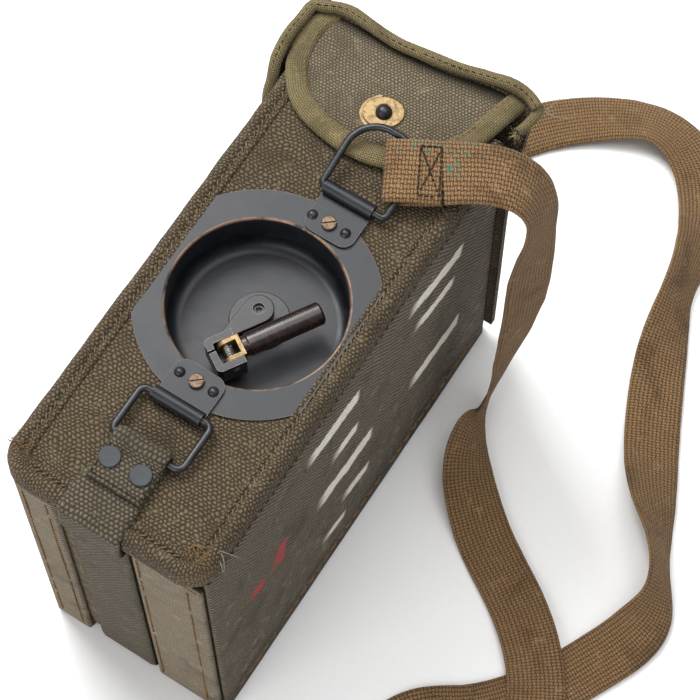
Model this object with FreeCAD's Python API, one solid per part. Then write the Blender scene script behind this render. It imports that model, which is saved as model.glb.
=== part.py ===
import FreeCAD, Part
import math
import os

V = FreeCAD.Vector

# A hand-cranked field telephone in a canvas carrying case, lying on its narrow back face with the crank up.
# Millimetres. +Z is out of the crank face, +Y is the cover end, +X is the broad side seen in the photograph.
# The origin is the centre line of the resting face.

# Case
case_width = 92.0
case_depth = 185.0
bottom_edge_y = -117.5
mouth_y = 99.0
panel_thickness = 12.0
panel_corner = 12.0
panel_edge_round = 1.7
panel_overhang = 3.0
border_width = 6.0
border_height = 1.0
wall = 3.0
shell_corner = 5.0
skin = 2.4
pad_gap_under_panel = 9.0
channel_left_x = -25.0
channel_right_x = 11.0

# Carrying web round the bottom end
web_width = 28.0
web_thickness = 2.4
web_under_x = -5.0
web_edge_x = -2.6
web_ring_x = -1.5
web_ring_width = 24.0
web_lap = 0.15
web_edge_slack = 0.5
web_end_y = -104.0
web_first_lap_y = -100.0
web_edge_turn = 2.7
web_under_turn = 5.5
web_ring_clearance = 0.3
web_rivet_xs = (-9.6, 4.5)
web_rivet_y = -93.8
web_rivet_r = 4.4
web_rivet_shank_r = 2.0

# Crank cup
cup_x = 1.0
cup_y = -10.5
cup_r = 35.5
cup_depth = 20.0
cup_floor_round = 5.0
sheet = 1.2
flange_r = 48.4
flange_half_width = 38.8

# Rings and their keepers
ring_wire_r = 1.5
running_gap = 0.1
keeper_width = 22.0
keeper_tube_r = 2.9
upper_keeper_x = 7.8
upper_fixings_x = 6.4
upper_keeper_reach = 54.8
upper_ring_x = 9.5
upper_ring_half = 14.6
upper_ring_round = 13.0
ring_bar_round = 1.8
upper_ring_reach = 31.6
upper_ring_tilt = 13.5
lower_keeper_x = 0.0
lower_keeper_reach = 52.5
lower_ring_half = 15.8
lower_ring_reach = 21.5
rear_ring_x = -2.0
rear_ring_half = 15.6
rear_ring_reach = 22.0
rear_ring_bar_z = 3.3
rear_ring_tilt = 1.0
lip_height = 10.2
lip_thickness = 2.6
rivet_r = 1.95
screw_r = 3.1

# Cover, its closing tongue and the fastener
hood_thickness = 3.0
hood_left_side = 4.4
hood_right_side = 3.0
mouth_gap = 0.3
ear_thickness = 2.4
hood_hinge_z = 12.0
hood_bulge = 17.0
ear_front_y = 74.0
ear_drop = 120.0
rim_rise = 6.5
rim_r = 2.6
tongue_centre_x = -3.5
tongue_side = 3.0
tongue_tip_y = 61.0
tongue_straight_y = 92.0
tongue_thickness = 2.4
tongue_lift = 1.2
binding_width = 8.0
binding_proud = 0.6
fastener_x = -1.1
fastener_y = 83.5
fastener_long = 8.4
fastener_short = 7.0

# Crank
crank_x = 0.4
crank_y = -9.1
arm_thickness = 5.0
arm_floor_gap = 7.1
arm_screw_depth = 1.4
arm_grip_gap = 2.0
hub_along = 18.3
hub_r = 6.0
washer_r = 12.2
boss_r = 5.2
shaft_r = 4.0
spigot_r = 2.4
fork_width = 9.0
fork_r = 3.6
fork_cheek = 1.6
fork_base = 5.6
slot_gap = 0.25
clevis_cheek = 2.8
clevis_back = 7.6
clevis_front = 4.2
clevis_rise = 3.7
clevis_foot = 4.5
clevis_slit = 0.9
pin_r = 1.4
grip_r = 4.7
grip_neck_r = 4.1
grip_neck = 1.6
grip_reach = 39.2
grip_heading = 58.2
grip_axis_drop = 6.0
spindle_r = 2.0
spring_turns = 5
spring_wire_r = 0.25

# Generator
gear_teeth = 44
pinion_teeth = 10
module = 1.0
gear_width = 6.0
gear_cup_gap = 12.0
frame_cup_gap = 5.0
plate = 2.0
armature_length = 52.0
armature_r = 11.0
magnet_bar = 7.0

# Handset, deck and terminals
deck_y = 38.0
handset_wall_gap = 2.5
ear_z = 37.0
mouth_panel_gap = 36.0
terminal_clearance = 9.0
cap_overhang = 2.5
terminal_width = 22.0
talk_low_z = 67.0
terminal_low_z = 20.0
terminal_panel_gap = 23.0
post_travel = 2.0
post_zs = (40.0, 62.0)
switch_z = 98.0

# Ringer
ringer_x = -13.0
gong_r = 14.0
gong_zs = (32.0, 70.0)
gong_rim_y = -6.0

# Dry cells
tray_side_gap = 3.8
tray_wall = 1.5
cell_gap = 1.5

# Shoulder strap
strap_width = 25.4
strap_thickness = 1.8
strap_heading = 27.0
loop_eye = 3.6
loop_length = 22.0
loop_gap = 0.8
fold_x = 14.35
fold_y = 60.3

# The strap's route from the upper ring to the rear ring: centre, then the width's heading and lean in degrees.
# The last stretch past the front corner and back is out of the photograph and lies in one loose loop.
strap_drop_route = [
    (45.0, 76.5, 196.0, 117, 6),
    (56.0, 81.8, 194.5, 115, 2),
    (66.0, 84.6, 188.5, 108, 0),
    (71.5, 84.0, 176.0, 95, 0),
    (72.0, 81.0, 158.0, 82, 0),
    (71.5, 78.5, 135.0, 73, 0),
    (71.0, 76.5, 105.0, 72, 0),
    (69.0, 73.5, 75.0, 78, 0),
    (66.5, 70.5, 50.0, 88, 0),
    (63.5, 66.0, 30.0, 98, -8),
    (61.5, 59.5, 16.0, 96, -38),
]
strap_front_route = [
    (63.5, 47.5, 12.2, 60, -48),
    (69.5, 34.0, 9.2, 40, -30),
    (80.5, 21.5, 4.6, 44, -12),
    (93.5, 10.5, 1.5, 52, 0),
    (106.0, 2.0, 1.2, 55, 0),
    (119.0, -6.5, 1.6, 54, 0),
    (132.0, -17.0, 3.0, 46, 0),
    (143.0, -29.0, 3.6, 36, 0),
    (152.0, -43.0, 3.6, 24, 0),
    (158.5, -60.0, 2.4, 12, 0),
    (159.0, -79.0, 1.2, -12, 0),
    (150.0, -96.0, 1.2, -46, 0),
    (132.0, -105.0, 1.2, -82, 0),
    (113.0, -100.0, 1.2, -120, 0),
    (106.0, -85.0, 1.2, -175, 0),
    (114.0, -71.0, 1.2, -222, 0),
]
strap_back_route = [
    (128.0, -61.0, 1.2, -234, 0),
    (142.0, -47.0, 1.2, -223, 0),
    (154.0, -30.0, 1.3, -211, 0),
    (164.0, -11.0, 3.0, -207, 5),
    (172.0, 8.0, 7.2, -196, 25),
    (171.5, 26.0, 12.8, -172, 58),
    (162.0, 43.0, 13.2, -152, 62),
    (149.0, 61.0, 9.8, -145, 38),
    (136.0, 82.0, 4.2, -150, 12),
    (124.0, 106.0, 3.4, -156, 8),
    (113.5, 132.0, 8.0, -158, 30),
    (106.5, 157.0, 12.2, -166, 55),
    (101.0, 182.0, 9.8, -166, 40),
    (93.0, 204.0, 5.0, -150, 15),
    (78.0, 221.0, 4.2, -116, 12),
    (58.0, 227.5, 5.8, -90, 20),
    (39.0, 223.0, 4.2, -66, 12),
    (22.0, 212.0, 2.1, -52, 3),
    (8.0, 197.0, 1.6, -40, 0),
    (-0.5, 179.0, 1.4, -14, 0),
    (-2.0, 163.0, 2.4, 0, 0),
]
strap_steps = 4

# Derived places
half_width = case_width / 2
panel_back = case_depth - panel_thickness
core_half = half_width - 0.6 - skin
end_face_y = bottom_edge_y + panel_overhang
core_end_y = end_face_y + skin
inside_end_y = core_end_y + wall
inside_floor_z = skin + wall
cup_floor_top = case_depth - cup_depth
flange_top = case_depth + sheet
ring_bar_z = flange_top + keeper_tube_r + 0.3
arm_back = cup_floor_top + arm_floor_gap
arm_front = arm_back + arm_thickness
grip_axis_z = case_depth - grip_axis_drop
arm_screw_z = arm_back + 2.0
hub_across = hub_r + grip_r + arm_grip_gap
clevis_width = fork_width + 2 * slot_gap + 2 * clevis_cheek
heading_x = math.cos(math.radians(grip_heading))
heading_y = math.sin(math.radians(grip_heading))
pin_x = crank_x - hub_along * heading_x + hub_across * heading_y
pin_y = crank_y - hub_along * heading_y - hub_across * heading_x
gear_front_z = cup_floor_top - gear_cup_gap
generator_front_z = cup_floor_top - frame_cup_gap
hood_left_x = -half_width - hood_left_side
hood_right_x = half_width + hood_right_side
tongue_half = half_width - tongue_side
mouth_z = panel_back - mouth_panel_gap
cap_r = (2 * (core_half - wall) - terminal_width - terminal_clearance) / 2
capsule_r = cap_r - cap_overhang
handset_x = wall - core_half + cap_r + handset_wall_gap


def write(name, shape):
    shape.exportStep("parts/" + name + ".step")


def box(x, y, z):
    return Part.makeBox(x[1] - x[0], y[1] - y[0], z[1] - z[0], V(x[0], y[0], z[0]))


def rod(at, axis, radius, length):
    return Part.makeCylinder(radius, length, V(*at), V(*axis))


def fuse(*shapes):
    whole = shapes[0]
    for shape in shapes[1:]:
        whole = whole.fuse(shape)
    return whole.removeSplitter()


def group(shapes):
    return Part.makeCompound(list(shapes))


def loop_face(edges):
    return Part.Face(Part.Wire(Part.__sortEdges__(edges)))


def line(a, b):
    return Part.LineSegment(a, b).toShape()


def arc(a, b, c):
    return Part.Arc(a, b, c).toShape()


def rounded_plate(x, y, z, corners):
    """A plate along Z; corners gives the radii at (-X-Y, +X-Y, +X+Y, -X+Y), zero for square."""
    corner_points = [(x[0], y[0]), (x[1], y[0]), (x[1], y[1]), (x[0], y[1])]
    inward = [(1, 1), (-1, 1), (-1, -1), (1, -1)]
    edges = []
    ends = []
    for index, (cx, cy) in enumerate(corner_points):
        r = corners[index]
        dx, dy = inward[index]
        along_x = V(cx + dx * r, cy, z[0])
        along_y = V(cx, cy + dy * r, z[0])
        first, last = (along_y, along_x) if index % 2 == 0 else (along_x, along_y)
        if r > 0:
            k = r * (1 - math.sqrt(0.5))
            edges.append(arc(first, V(cx + dx * k, cy + dy * k, z[0]), last))
        ends.append((first, last))
    for index in range(4):
        edges.append(line(ends[index][1], ends[(index + 1) % 4][0]))
    return loop_face(edges).extrude(V(0, 0, z[1] - z[0]))


def edges_at(shape, test):
    return [edge for edge in shape.Edges if test(edge)]


def soften_top(shape, z, radius):
    """Round the edges that lie wholly at height z."""
    top = edges_at(shape, lambda e: all(abs(v.Z - z) < 0.01 for v in e.Vertexes))
    return shape.makeFillet(radius, top)


def ribbon_sections(stations):
    """Cross sections of a flat strip through stations of (centre, width direction, width, thickness)."""
    count = len(stations)
    wires = []
    for index, (centre, across, width, thickness) in enumerate(stations):
        before = stations[max(index - 1, 0)][0]
        after = stations[min(index + 1, count - 1)][0]
        ahead = (after - before).normalize()
        side = (across - ahead * across.dot(ahead)).normalize()
        up = ahead.cross(side)
        half_side = side * (width / 2)
        half_up = up * (thickness / 2)
        corners = [
            centre - half_side - half_up,
            centre + half_side - half_up,
            centre + half_side + half_up,
            centre - half_side + half_up,
        ]
        wires.append(Part.makePolygon(corners + corners[:1]))
    return wires


def ribbon(sections):
    return Part.makeLoft(sections, True, True)


def wire_ring(path, radius):
    """A round wire bent along a closed path that starts in the middle of its first straight edge."""
    first = path[0]
    start = first.valueAt(first.FirstParameter)
    ahead = first.tangentAt(first.FirstParameter)
    section = Part.Wire(Part.Circle(start, ahead, radius).toShape())
    return Part.Wire(path).makePipeShell([section], True, True)


def bent_ring_path(half, reach, inner_round, outer_round, place):
    """A D-shaped or square ring in its own plane, bar along the first axis; place puts a point in space."""
    k = math.sqrt(0.5)
    r = inner_round
    q = outer_round

    def corner(cx, cy, radius, a0):
        a1 = math.radians(a0)
        a2 = math.radians(a0 + 45)
        a3 = math.radians(a0 + 90)
        points = [place(cx + radius * math.cos(a), cy + radius * math.sin(a)) for a in (a1, a2, a3)]
        return arc(*points)

    edges = [
        line(place(0, 0), place(half - r, 0)),
        corner(half - r, r, r, -90),
        line(place(half, r), place(half, reach - q)),
        corner(half - q, reach - q, q, 0),
        line(place(half - q, reach), place(q - half, reach)),
        corner(q - half, reach - q, q, 90),
        line(place(-half, reach - q), place(-half, r)),
        corner(r - half, r, r, 180),
        line(place(r - half, 0), place(0, 0)),
    ]
    return edges


def make_case():
    shell = box((-core_half, core_half), (core_end_y, mouth_y), (skin, panel_back))
    corner_edges = edges_at(shell, lambda e: abs(e.Vertexes[0].Y - e.Vertexes[-1].Y) < 0.01
                            and e.CenterOfMass.y < core_end_y + 0.1 and e.CenterOfMass.z < panel_back - 1)
    shell = shell.makeFillet(shell_corner, corner_edges)
    hollow = box((wall - core_half, core_half - wall), (inside_end_y, mouth_y + 1),
                 (inside_floor_z, panel_back - wall))
    shell = shell.cut(hollow)
    shell = shell.cut(rod((cup_x, cup_y, panel_back - wall - 1), (0, 0, 1), cup_r + sheet + 0.3, wall + 2))
    write("case_shell", shell)

    panel = rounded_plate((-half_width, half_width), (bottom_edge_y, mouth_y), (panel_back, case_depth),
                          (panel_corner, panel_corner, 0, 0))
    panel = panel.makeFillet(panel_edge_round, edges_at(panel, lambda e: e.CenterOfMass.z > case_depth - 0.1
                                           and e.CenterOfMass.y < mouth_y - 1))
    panel = panel.cut(rod((cup_x, cup_y, panel_back - 1), (0, 0, 1), cup_r + sheet + 0.3, panel_thickness + 2))
    write("crank_side_panel", panel)

    inset = 2.0
    outer = rounded_plate((inset - half_width, half_width - inset), (bottom_edge_y + inset, mouth_y - inset),
                          (case_depth, case_depth + border_height),
                          (panel_corner - inset, panel_corner - inset, 0, 0))
    reach = inset + border_width
    inner = rounded_plate((reach - half_width, half_width - reach), (bottom_edge_y + reach, mouth_y),
                          (case_depth - 1, case_depth + border_height + 1),
                          (panel_corner - reach + 3, panel_corner - reach + 3, 0, 0))
    border = outer.cut(inner)
    web_slot = box((web_edge_x - web_width / 2 - 0.5, web_edge_x + web_width / 2 + 0.5),
                   (bottom_edge_y - 1, bottom_edge_y + reach + 1), (case_depth - 1, case_depth + 5))
    flange_slot = rod((cup_x, cup_y, case_depth - 1), (0, 0, 1), flange_r + 0.1, 4)
    flange_reach = flange_half_width + 0.1
    flange_slot = flange_slot.common(box((cup_x - flange_reach, cup_x + flange_reach), (cup_y - 50, cup_y + 50),
                                         (case_depth - 1, case_depth + 3)))
    write("panel_border", border.cut(web_slot).cut(flange_slot))

    covers = []
    for side in (1, -1):
        inner_x = side * core_half
        outer_x = side * (core_half + skin)
        cover = box((min(inner_x, outer_x), max(inner_x, outer_x)), (core_end_y, mouth_y), (0, panel_back))
        rounded = edges_at(cover, lambda e: abs(e.CenterOfMass.x - outer_x) < 0.01
                           and (e.CenterOfMass.z < 0.1 or e.CenterOfMass.y < core_end_y + 0.1))
        covers.append(cover.makeFillet(2.0, rounded))
    write("side_covers", group(covers))

    pads = []
    for x in ((-core_half, channel_left_x), (channel_right_x, core_half)):
        pad = box(x, (end_face_y, core_end_y), (skin, panel_back - pad_gap_under_panel))
        pads.append(pad.makeFillet(1.0, edges_at(pad, lambda e: abs(e.CenterOfMass.y - end_face_y) < 0.01)))
    write("bottom_end_pads", group(pads))

    under = []
    for x in ((-core_half, channel_left_x), (channel_right_x, core_half)):
        pad = box(x, (core_end_y, mouth_y), (0, skin))
        under.append(pad)
    write("underside_pads", group(under))


def web_stations():
    """The web from its riveted end, round the lower ring, over the panel's edge and along the underside."""
    half = web_thickness / 2
    on_face = case_depth + half
    upper = on_face + web_thickness + web_lap
    bar_y = cup_y - lower_keeper_reach - lower_ring_reach
    turn_r = ring_wire_r + web_ring_clearance + half
    stations = []

    def add(y, z, x, width):
        stations.append((V(x, y, z), V(1, 0, 0), width, web_thickness))

    add(web_end_y, upper, web_ring_x, web_ring_width)
    add(bar_y - 4.3, upper, web_ring_x, web_ring_width)
    for angle in (125, 90, 45, 0, -45, -90):
        a = math.radians(angle)
        add(bar_y + turn_r * math.cos(a), ring_bar_z + turn_r * math.sin(a), web_ring_x, web_ring_width)
    add(bar_y - 7.5, on_face, web_ring_x, web_ring_width)
    add(web_first_lap_y, on_face, web_edge_x, web_width - 2)
    edge_y = bottom_edge_y - half - web_edge_slack
    turn = web_edge_turn
    for angle in (90, 60, 30, 0):
        a = math.radians(angle)
        add(edge_y + turn - turn * math.cos(a), on_face - turn + turn * math.sin(a), web_edge_x, web_width)
    end_y = core_end_y - half - 0.25
    add(edge_y, panel_back - 1.6, web_edge_x, web_width)
    add(end_y - 0.6, panel_back - 8.5, web_under_x, web_width)
    add(end_y, panel_back - 14.0, web_under_x, web_width)
    turn = web_under_turn
    for angle in (0, 30, 60, 90):
        a = math.radians(angle)
        add(end_y + turn - turn * math.cos(a), half + turn - turn * math.sin(a), web_under_x, web_width)
    add(mouth_y, half, web_under_x, web_width)
    return stations


def make_web():
    web = ribbon(ribbon_sections(web_stations()))
    rivets = []
    head_z = case_depth + 2 * web_thickness + web_lap
    for x in web_rivet_xs:
        hole = rod((x, web_rivet_y, case_depth - 1), (0, 0, 1), web_rivet_shank_r + 0.05, 10)
        web = web.cut(hole)
        shank = rod((x, web_rivet_y, case_depth + 0.05), (0, 0, 1), web_rivet_shank_r, head_z - case_depth)
        head = rod((x, web_rivet_y, head_z), (0, 0, 1), web_rivet_r, 1.1)
        rivets.append(fuse(soften_top(head, head_z + 1.1, 0.5), shank))
    write("support_web", web)
    write("web_rivets", group(rivets))


def make_cup():
    r = cup_r
    f = cup_floor_round
    top = flange_top
    floor = cup_floor_top
    k = math.sqrt(0.5)
    lip = 1.2
    profile = [
        line(V(0, 0, floor), V(r - f, 0, floor)),
        arc(V(r - f, 0, floor), V(r - f + f * k, 0, floor + f - f * k), V(r, 0, floor + f)),
        line(V(r, 0, floor + f), V(r, 0, top - lip)),
        arc(V(r, 0, top - lip), V(r + lip - lip * k, 0, top - lip + lip * k), V(r + lip, 0, top)),
        line(V(r + lip, 0, top), V(flange_r, 0, top)),
        line(V(flange_r, 0, top), V(flange_r, 0, top - sheet)),
        line(V(flange_r, 0, top - sheet), V(r + sheet, 0, top - sheet)),
        line(V(r + sheet, 0, top - sheet), V(r + sheet, 0, floor + f)),
        arc(V(r + sheet, 0, floor + f),
            V(r - f + (f + sheet) * k, 0, floor + f - (f + sheet) * k),
            V(r - f, 0, floor - sheet)),
        line(V(r - f, 0, floor - sheet), V(0, 0, floor - sheet)),
        line(V(0, 0, floor - sheet), V(0, 0, floor)),
    ]
    cup = loop_face(profile).revolve(V(0, 0, 0), V(0, 0, 1), 360)
    cup.translate(V(cup_x, cup_y, 0))
    keep = box((cup_x - flange_half_width, cup_x + flange_half_width),
               (cup_y - 60, cup_y + 60), (floor - 5, top + 5))
    cup = cup.common(keep)
    cup = cup.cut(rod((crank_x, crank_y, floor - 5), (0, 0, 1), shaft_r + 1.2, 10))
    for x, y in keeper_fixings():
        cup = cup.cut(rod((x, y, case_depth - 1), (0, 0, 1), 1.3, 4))
    write("crank_cup", cup)


def keeper_places():
    """(name, centre x, bar y, direction from the cup outwards)"""
    return [
        ("upper_ring_keeper", upper_keeper_x, cup_y + upper_keeper_reach, 1),
        ("lower_ring_keeper", lower_keeper_x, cup_y - lower_keeper_reach, -1),
    ]


def keeper_fixings():
    """Two rivets and a screw on each keeper, the screw in the middle."""
    places = []
    for _, _, bar_y, out in keeper_places():
        x = upper_fixings_x if out > 0 else lower_keeper_x
        row_y = bar_y - out * 12.4
        for dx in (-7.6, 0.0, 7.6):
            places.append((x + dx, row_y))
    return places


def make_keepers():
    for name, x, bar_y, out in keeper_places():
        inner_y = bar_y - out * 18.6
        half = keeper_width / 2
        tongue_y = bar_y - out * 1.2
        low, high = min(inner_y, tongue_y), max(inner_y, tongue_y)
        round_ends = (5, 5, 0, 0) if out > 0 else (0, 0, 5, 5)
        leaf = rounded_plate((x - half, x + half), (low, high), (flange_top, flange_top + sheet), round_ends)
        roll_outer = rod((x - half, bar_y, ring_bar_z), (1, 0, 0), keeper_tube_r, keeper_width)
        hole = rod((x - half - 1, bar_y, ring_bar_z), (1, 0, 0), ring_wire_r + running_gap, keeper_width + 2)
        keeper = fuse(leaf, roll_outer).cut(hole)
        for fx, fy in keeper_fixings():
            keeper = keeper.cut(rod((fx, fy, flange_top - 1), (0, 0, 1), 1.3, 4))
        write(name, keeper)

    rivets = []
    screws = []
    seat = flange_top + sheet
    for index, (x, y) in enumerate(keeper_fixings()):
        shank = rod((x, y, case_depth), (0, 0, 1), 1.2, seat - case_depth + 0.2)
        if index % 3 == 1:
            head = rod((x, y, seat), (0, 0, 1), screw_r, 1.4)
            head = soften_top(head, seat + 1.4, 0.6)
            slot = box((x - 4, x + 4), (y - 0.4, y + 0.4), (seat + 0.8, seat + 2))
            slot.rotate(V(x, y, 0), V(0, 0, 1), 40)
            screws.append(fuse(head.cut(slot), shank))
        else:
            ball = Part.makeSphere(2.4, V(x, y, seat - 0.9))
            dome = ball.common(box((x - 3, x + 3), (y - 3, y + 3), (seat, seat + 3)))
            rivets.append(fuse(dome, shank))
    write("keeper_rivets", group(rivets))
    write("keeper_screws", group(screws))


def tilted(x, y, z, degrees, side):
    """A map from ring-plane places to space: the bar at (x, y, z), the plane raised by degrees."""
    a = math.radians(degrees)

    def place(across, out, lift=0.0):
        dy = out * math.cos(a) - lift * math.sin(a)
        dz = out * math.sin(a) + lift * math.cos(a)
        return V(x + across, y + side * dy, z + dz)

    return place


def make_rings():
    bar_y = cup_y + upper_keeper_reach
    place = tilted(upper_ring_x, bar_y, ring_bar_z, upper_ring_tilt, 1)
    path = bent_ring_path(upper_ring_half, upper_ring_reach, ring_bar_round, upper_ring_round, place)
    write("upper_ring", wire_ring(path, ring_wire_r))

    low_y = cup_y - lower_keeper_reach
    place = tilted(lower_keeper_x, low_y, ring_bar_z, 0, -1)
    path = bent_ring_path(lower_ring_half, lower_ring_reach, 3.2, 3.2, place)
    write("lower_ring", wire_ring(path, ring_wire_r))


def strap_frame():
    """The upper strap end: its fold point, the way the strap runs and the way its width runs."""
    a = math.radians(strap_heading)
    tilt = math.radians(upper_ring_tilt)
    bar_y = cup_y + upper_keeper_reach
    rise = (fold_y - bar_y) * math.tan(tilt)
    fold = V(fold_x, fold_y, ring_bar_z + rise)
    normal = V(0, -math.sin(tilt), math.cos(tilt))
    along = V(math.cos(a), math.sin(a), math.sin(a) * math.tan(tilt)).normalize()
    across = normal.cross(along)
    return fold, along, across, normal


def loop_solid(fold, along, across, normal, eye_length, end_length):
    """A webbing end folded round a ring: two laps that close after the eye."""
    t = strap_thickness
    e = loop_eye / 2
    c = t + e

    def at(u, n):
        return fold + along * u + normal * n - across * (strap_width / 2)

    outer = [
        arc(at(c, c), at(0, 0), at(c, -c)),
        line(at(c, -c), at(eye_length, -c)),
        line(at(eye_length, -c), at(end_length - 2, -t)),
        line(at(end_length - 2, -t), at(end_length, -t)),
        line(at(end_length, -t), at(end_length, t)),
        line(at(end_length, t), at(end_length - 2, t)),
        line(at(end_length - 2, t), at(eye_length, c)),
        line(at(eye_length, c), at(c, c)),
    ]
    inner = [
        arc(at(c, e), at(c - e, 0), at(c, -e)),
        line(at(c, -e), at(eye_length, -e)),
        line(at(eye_length, -e), at(end_length - 4, 0)),
        line(at(end_length - 4, 0), at(eye_length, e)),
        line(at(eye_length, e), at(c, e)),
    ]
    sweep = across * strap_width
    return loop_face(outer).extrude(sweep).cut(loop_face(inner).extrude(sweep))


def hood_curve(offset):
    """The hood's side view at a distance outside the mouth plane: plain below, bulging out at the top."""
    y = mouth_y + offset
    turn_z = case_depth * 0.6
    top_z = case_depth + rim_rise
    rise = top_z - turn_z
    radius = (rise * rise + hood_bulge * hood_bulge) / (2 * hood_bulge)
    half = math.asin(rise / radius) / 2
    middle = V(0, y + radius - radius * math.cos(half), turn_z + radius * math.sin(half))
    return V(0, y, hood_hinge_z), V(0, y, turn_z), middle, V(0, y + hood_bulge, top_z)


def make_cover():
    near = hood_curve(mouth_gap)
    far = hood_curve(mouth_gap + hood_thickness)
    edges = [
        line(near[0], near[1]),
        arc(near[1], near[2], near[3]),
        line(near[3], far[3]),
        arc(far[3], far[2], far[1]),
        line(far[1], far[0]),
        line(far[0], near[0]),
    ]
    wall_solid = loop_face(edges).extrude(V(hood_right_x - hood_left_x, 0, 0))
    wall_solid.translate(V(hood_left_x, 0, 0))

    ear_x = hood_left_x
    ear_top = case_depth + rim_rise
    ear_bottom = ear_top - ear_drop
    ear_plate = rounded_plate((ear_bottom, ear_top), (ear_front_y, near[3].y + 1), (0, ear_thickness),
                              (24, 12, 0, 0))
    ear_plate.rotate(V(0, 0, 0), V(0, 1, 0), -90)
    ear_plate.translate(V(ear_x + ear_thickness, 0, 0))
    behind = box((ear_x - 5, ear_x + 5), (near[0].y, near[3].y + 5), (hood_hinge_z, ear_top + 1))
    ear_plate = ear_plate.cut(behind).fuse(ear_plate.common(hood_inside(near, ear_x)))
    hood = fuse(wall_solid, ear_plate)

    bx = ear_x + ear_thickness / 2
    by = near[3].y + hood_thickness / 2
    bz = ear_top
    turn = 9.0
    k = turn * (1 - math.sqrt(0.5))
    front = ear_front_y
    path = [
        line(V(hood_right_x, by, bz), V(bx + turn, by, bz)),
        arc(V(bx + turn, by, bz), V(bx + k, by - k, bz), V(bx, by - turn, bz)),
        line(V(bx, by - turn, bz), V(bx, front + turn, bz)),
        arc(V(bx, front + turn, bz), V(bx, front + k, bz - k), V(bx, front, bz - turn)),
        line(V(bx, front, bz - turn), V(bx, front, ear_bottom + 26)),
    ]
    section = Part.Wire(Part.Circle(V(hood_right_x, by, bz), V(1, 0, 0), rim_r).toShape())
    binding = Part.Wire(path).makePipeShell([section], True, True)
    hood = hood.cut(binding)
    write("cover_hood", hood)
    write("cover_binding", binding)

    low = case_depth + tongue_lift
    high = low + tongue_thickness
    tongue = tongue_plate(tongue_half - binding_width, low, high).cut(hood).cut(binding)
    rim = tongue_plate(tongue_half, low, high + binding_proud)
    inner = tongue_plate(tongue_half - binding_width, low - 1, high + binding_proud + 1)
    tongue_rim = rim.cut(inner).cut(hood).cut(binding)
    write("closing_tongue", tongue)
    write("tongue_binding", max(tongue_rim.Solids, key=lambda solid: solid.Volume))

    turn_by = 31.7
    backing = oval_plate(fastener_long + 1.2, fastener_short + 1.2, high, high + 0.6, turn_by)
    face = oval_plate(fastener_long, fastener_short, high + 0.6, high + 1.5, turn_by)
    face = soften_top(face, high + 1.5, 0.5)
    head = Part.makeSphere(3.4, V(fastener_x, fastener_y, high + 1.0))
    head = head.common(box((fastener_x - 4, fastener_x + 4), (fastener_y - 4, fastener_y + 4),
                           (high + 1.2, high + 6)))
    well = rod((fastener_x, fastener_y, high + 1.2), (0, 0, 1), 3.9, 4)
    write("fastener_plate", fuse(backing, face).cut(well))
    write("fastener_head", head)
    base = rod((fastener_x, fastener_y, case_depth), (0, 0, 1), 5.0, 0.5)
    button = rod((fastener_x, fastener_y, case_depth + 0.5), (0, 0, 1), 2.4, 0.4)
    write("fastener_stud", fuse(base, button))


def hood_inside(near, ear_x):
    """The space just inside the bulged wall, over the ear's thickness."""
    edges = [
        line(near[0], near[1]),
        arc(near[1], near[2], near[3]),
        line(near[3], V(0, near[0].y, near[3].z)),
        line(V(0, near[0].y, near[3].z), near[0]),
    ]
    space = loop_face(edges).extrude(V(ear_thickness, 0, 0))
    space.translate(V(ear_x, 0, 0))
    return space


def tongue_plate(half, low, high):
    """A tongue with a half-oval end; its depth follows its half width."""
    inset = tongue_half - half
    x = tongue_centre_x
    depth = tongue_straight_y - tongue_tip_y - inset
    y = tongue_straight_y
    end_y = mouth_y + mouth_gap + hood_bulge + 1
    sideways, downwards = V(x + half, y, low), V(x, y - depth, low)
    ends = (sideways, downwards) if half > depth else (downwards, sideways)
    oval = Part.Ellipse(ends[0], ends[1], V(x, y, low))
    sheet_face = Part.Face(Part.Wire(oval.toShape()))
    lower = sheet_face.extrude(V(0, 0, high - low)).common(
        box((x - half - 1, x + half + 1), (y - depth - 1, y), (low - 1, high + 1)))
    upper = box((x - half, x + half), (y, end_y), (low, high))
    return fuse(lower, upper)


def oval_plate(long_half, short_half, low, high, turn):
    oval = Part.Ellipse(V(long_half, 0, 0), V(0, short_half, 0), V(0, 0, 0))
    plate_solid = Part.Face(Part.Wire(oval.toShape())).extrude(V(0, 0, high - low))
    plate_solid.rotate(V(0, 0, 0), V(0, 0, 1), turn)
    plate_solid.translate(V(fastener_x, fastener_y, low))
    return plate_solid


def make_rear_ring():
    lip = box((-core_half, core_half), (mouth_y, mouth_y + lip_thickness), (0, lip_height))
    write("hinge_lip", lip)
    bar_y = mouth_y + lip_thickness + sheet + keeper_tube_r - 0.6
    half = keeper_width / 2
    x = rear_ring_x
    leaf = box((x - half, x + half), (mouth_y + lip_thickness, mouth_y + lip_thickness + sheet),
               (0.4, lip_height - 0.6))
    roll = rod((x - half, bar_y, rear_ring_bar_z), (1, 0, 0), keeper_tube_r, keeper_width)
    roll = roll.cut(box((x - half, x + half), (mouth_y, mouth_y + lip_thickness), (0, lip_height)))
    hole = rod((x - half - 1, bar_y, rear_ring_bar_z), (1, 0, 0), ring_wire_r + running_gap, keeper_width + 2)
    write("rear_ring_keeper", fuse(leaf, roll).cut(hole))
    place = tilted(x, bar_y, rear_ring_bar_z, rear_ring_tilt, 1)
    path = bent_ring_path(rear_ring_half, rear_ring_reach, 2.2, 4.0, place)
    write("rear_ring", wire_ring(path, ring_wire_r))
    fold = place(0, rear_ring_reach - ring_wire_r - 0.35 - strap_thickness)
    fold.z = loop_eye / 2 + strap_thickness + 0.05
    write("rear_strap_loop", loop_solid(fold, V(0, 1, 0), V(-1, 0, 0), V(0, 0, 1), 9.0, loop_length))
    return fold + V(0, loop_length + loop_gap, 0)


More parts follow.
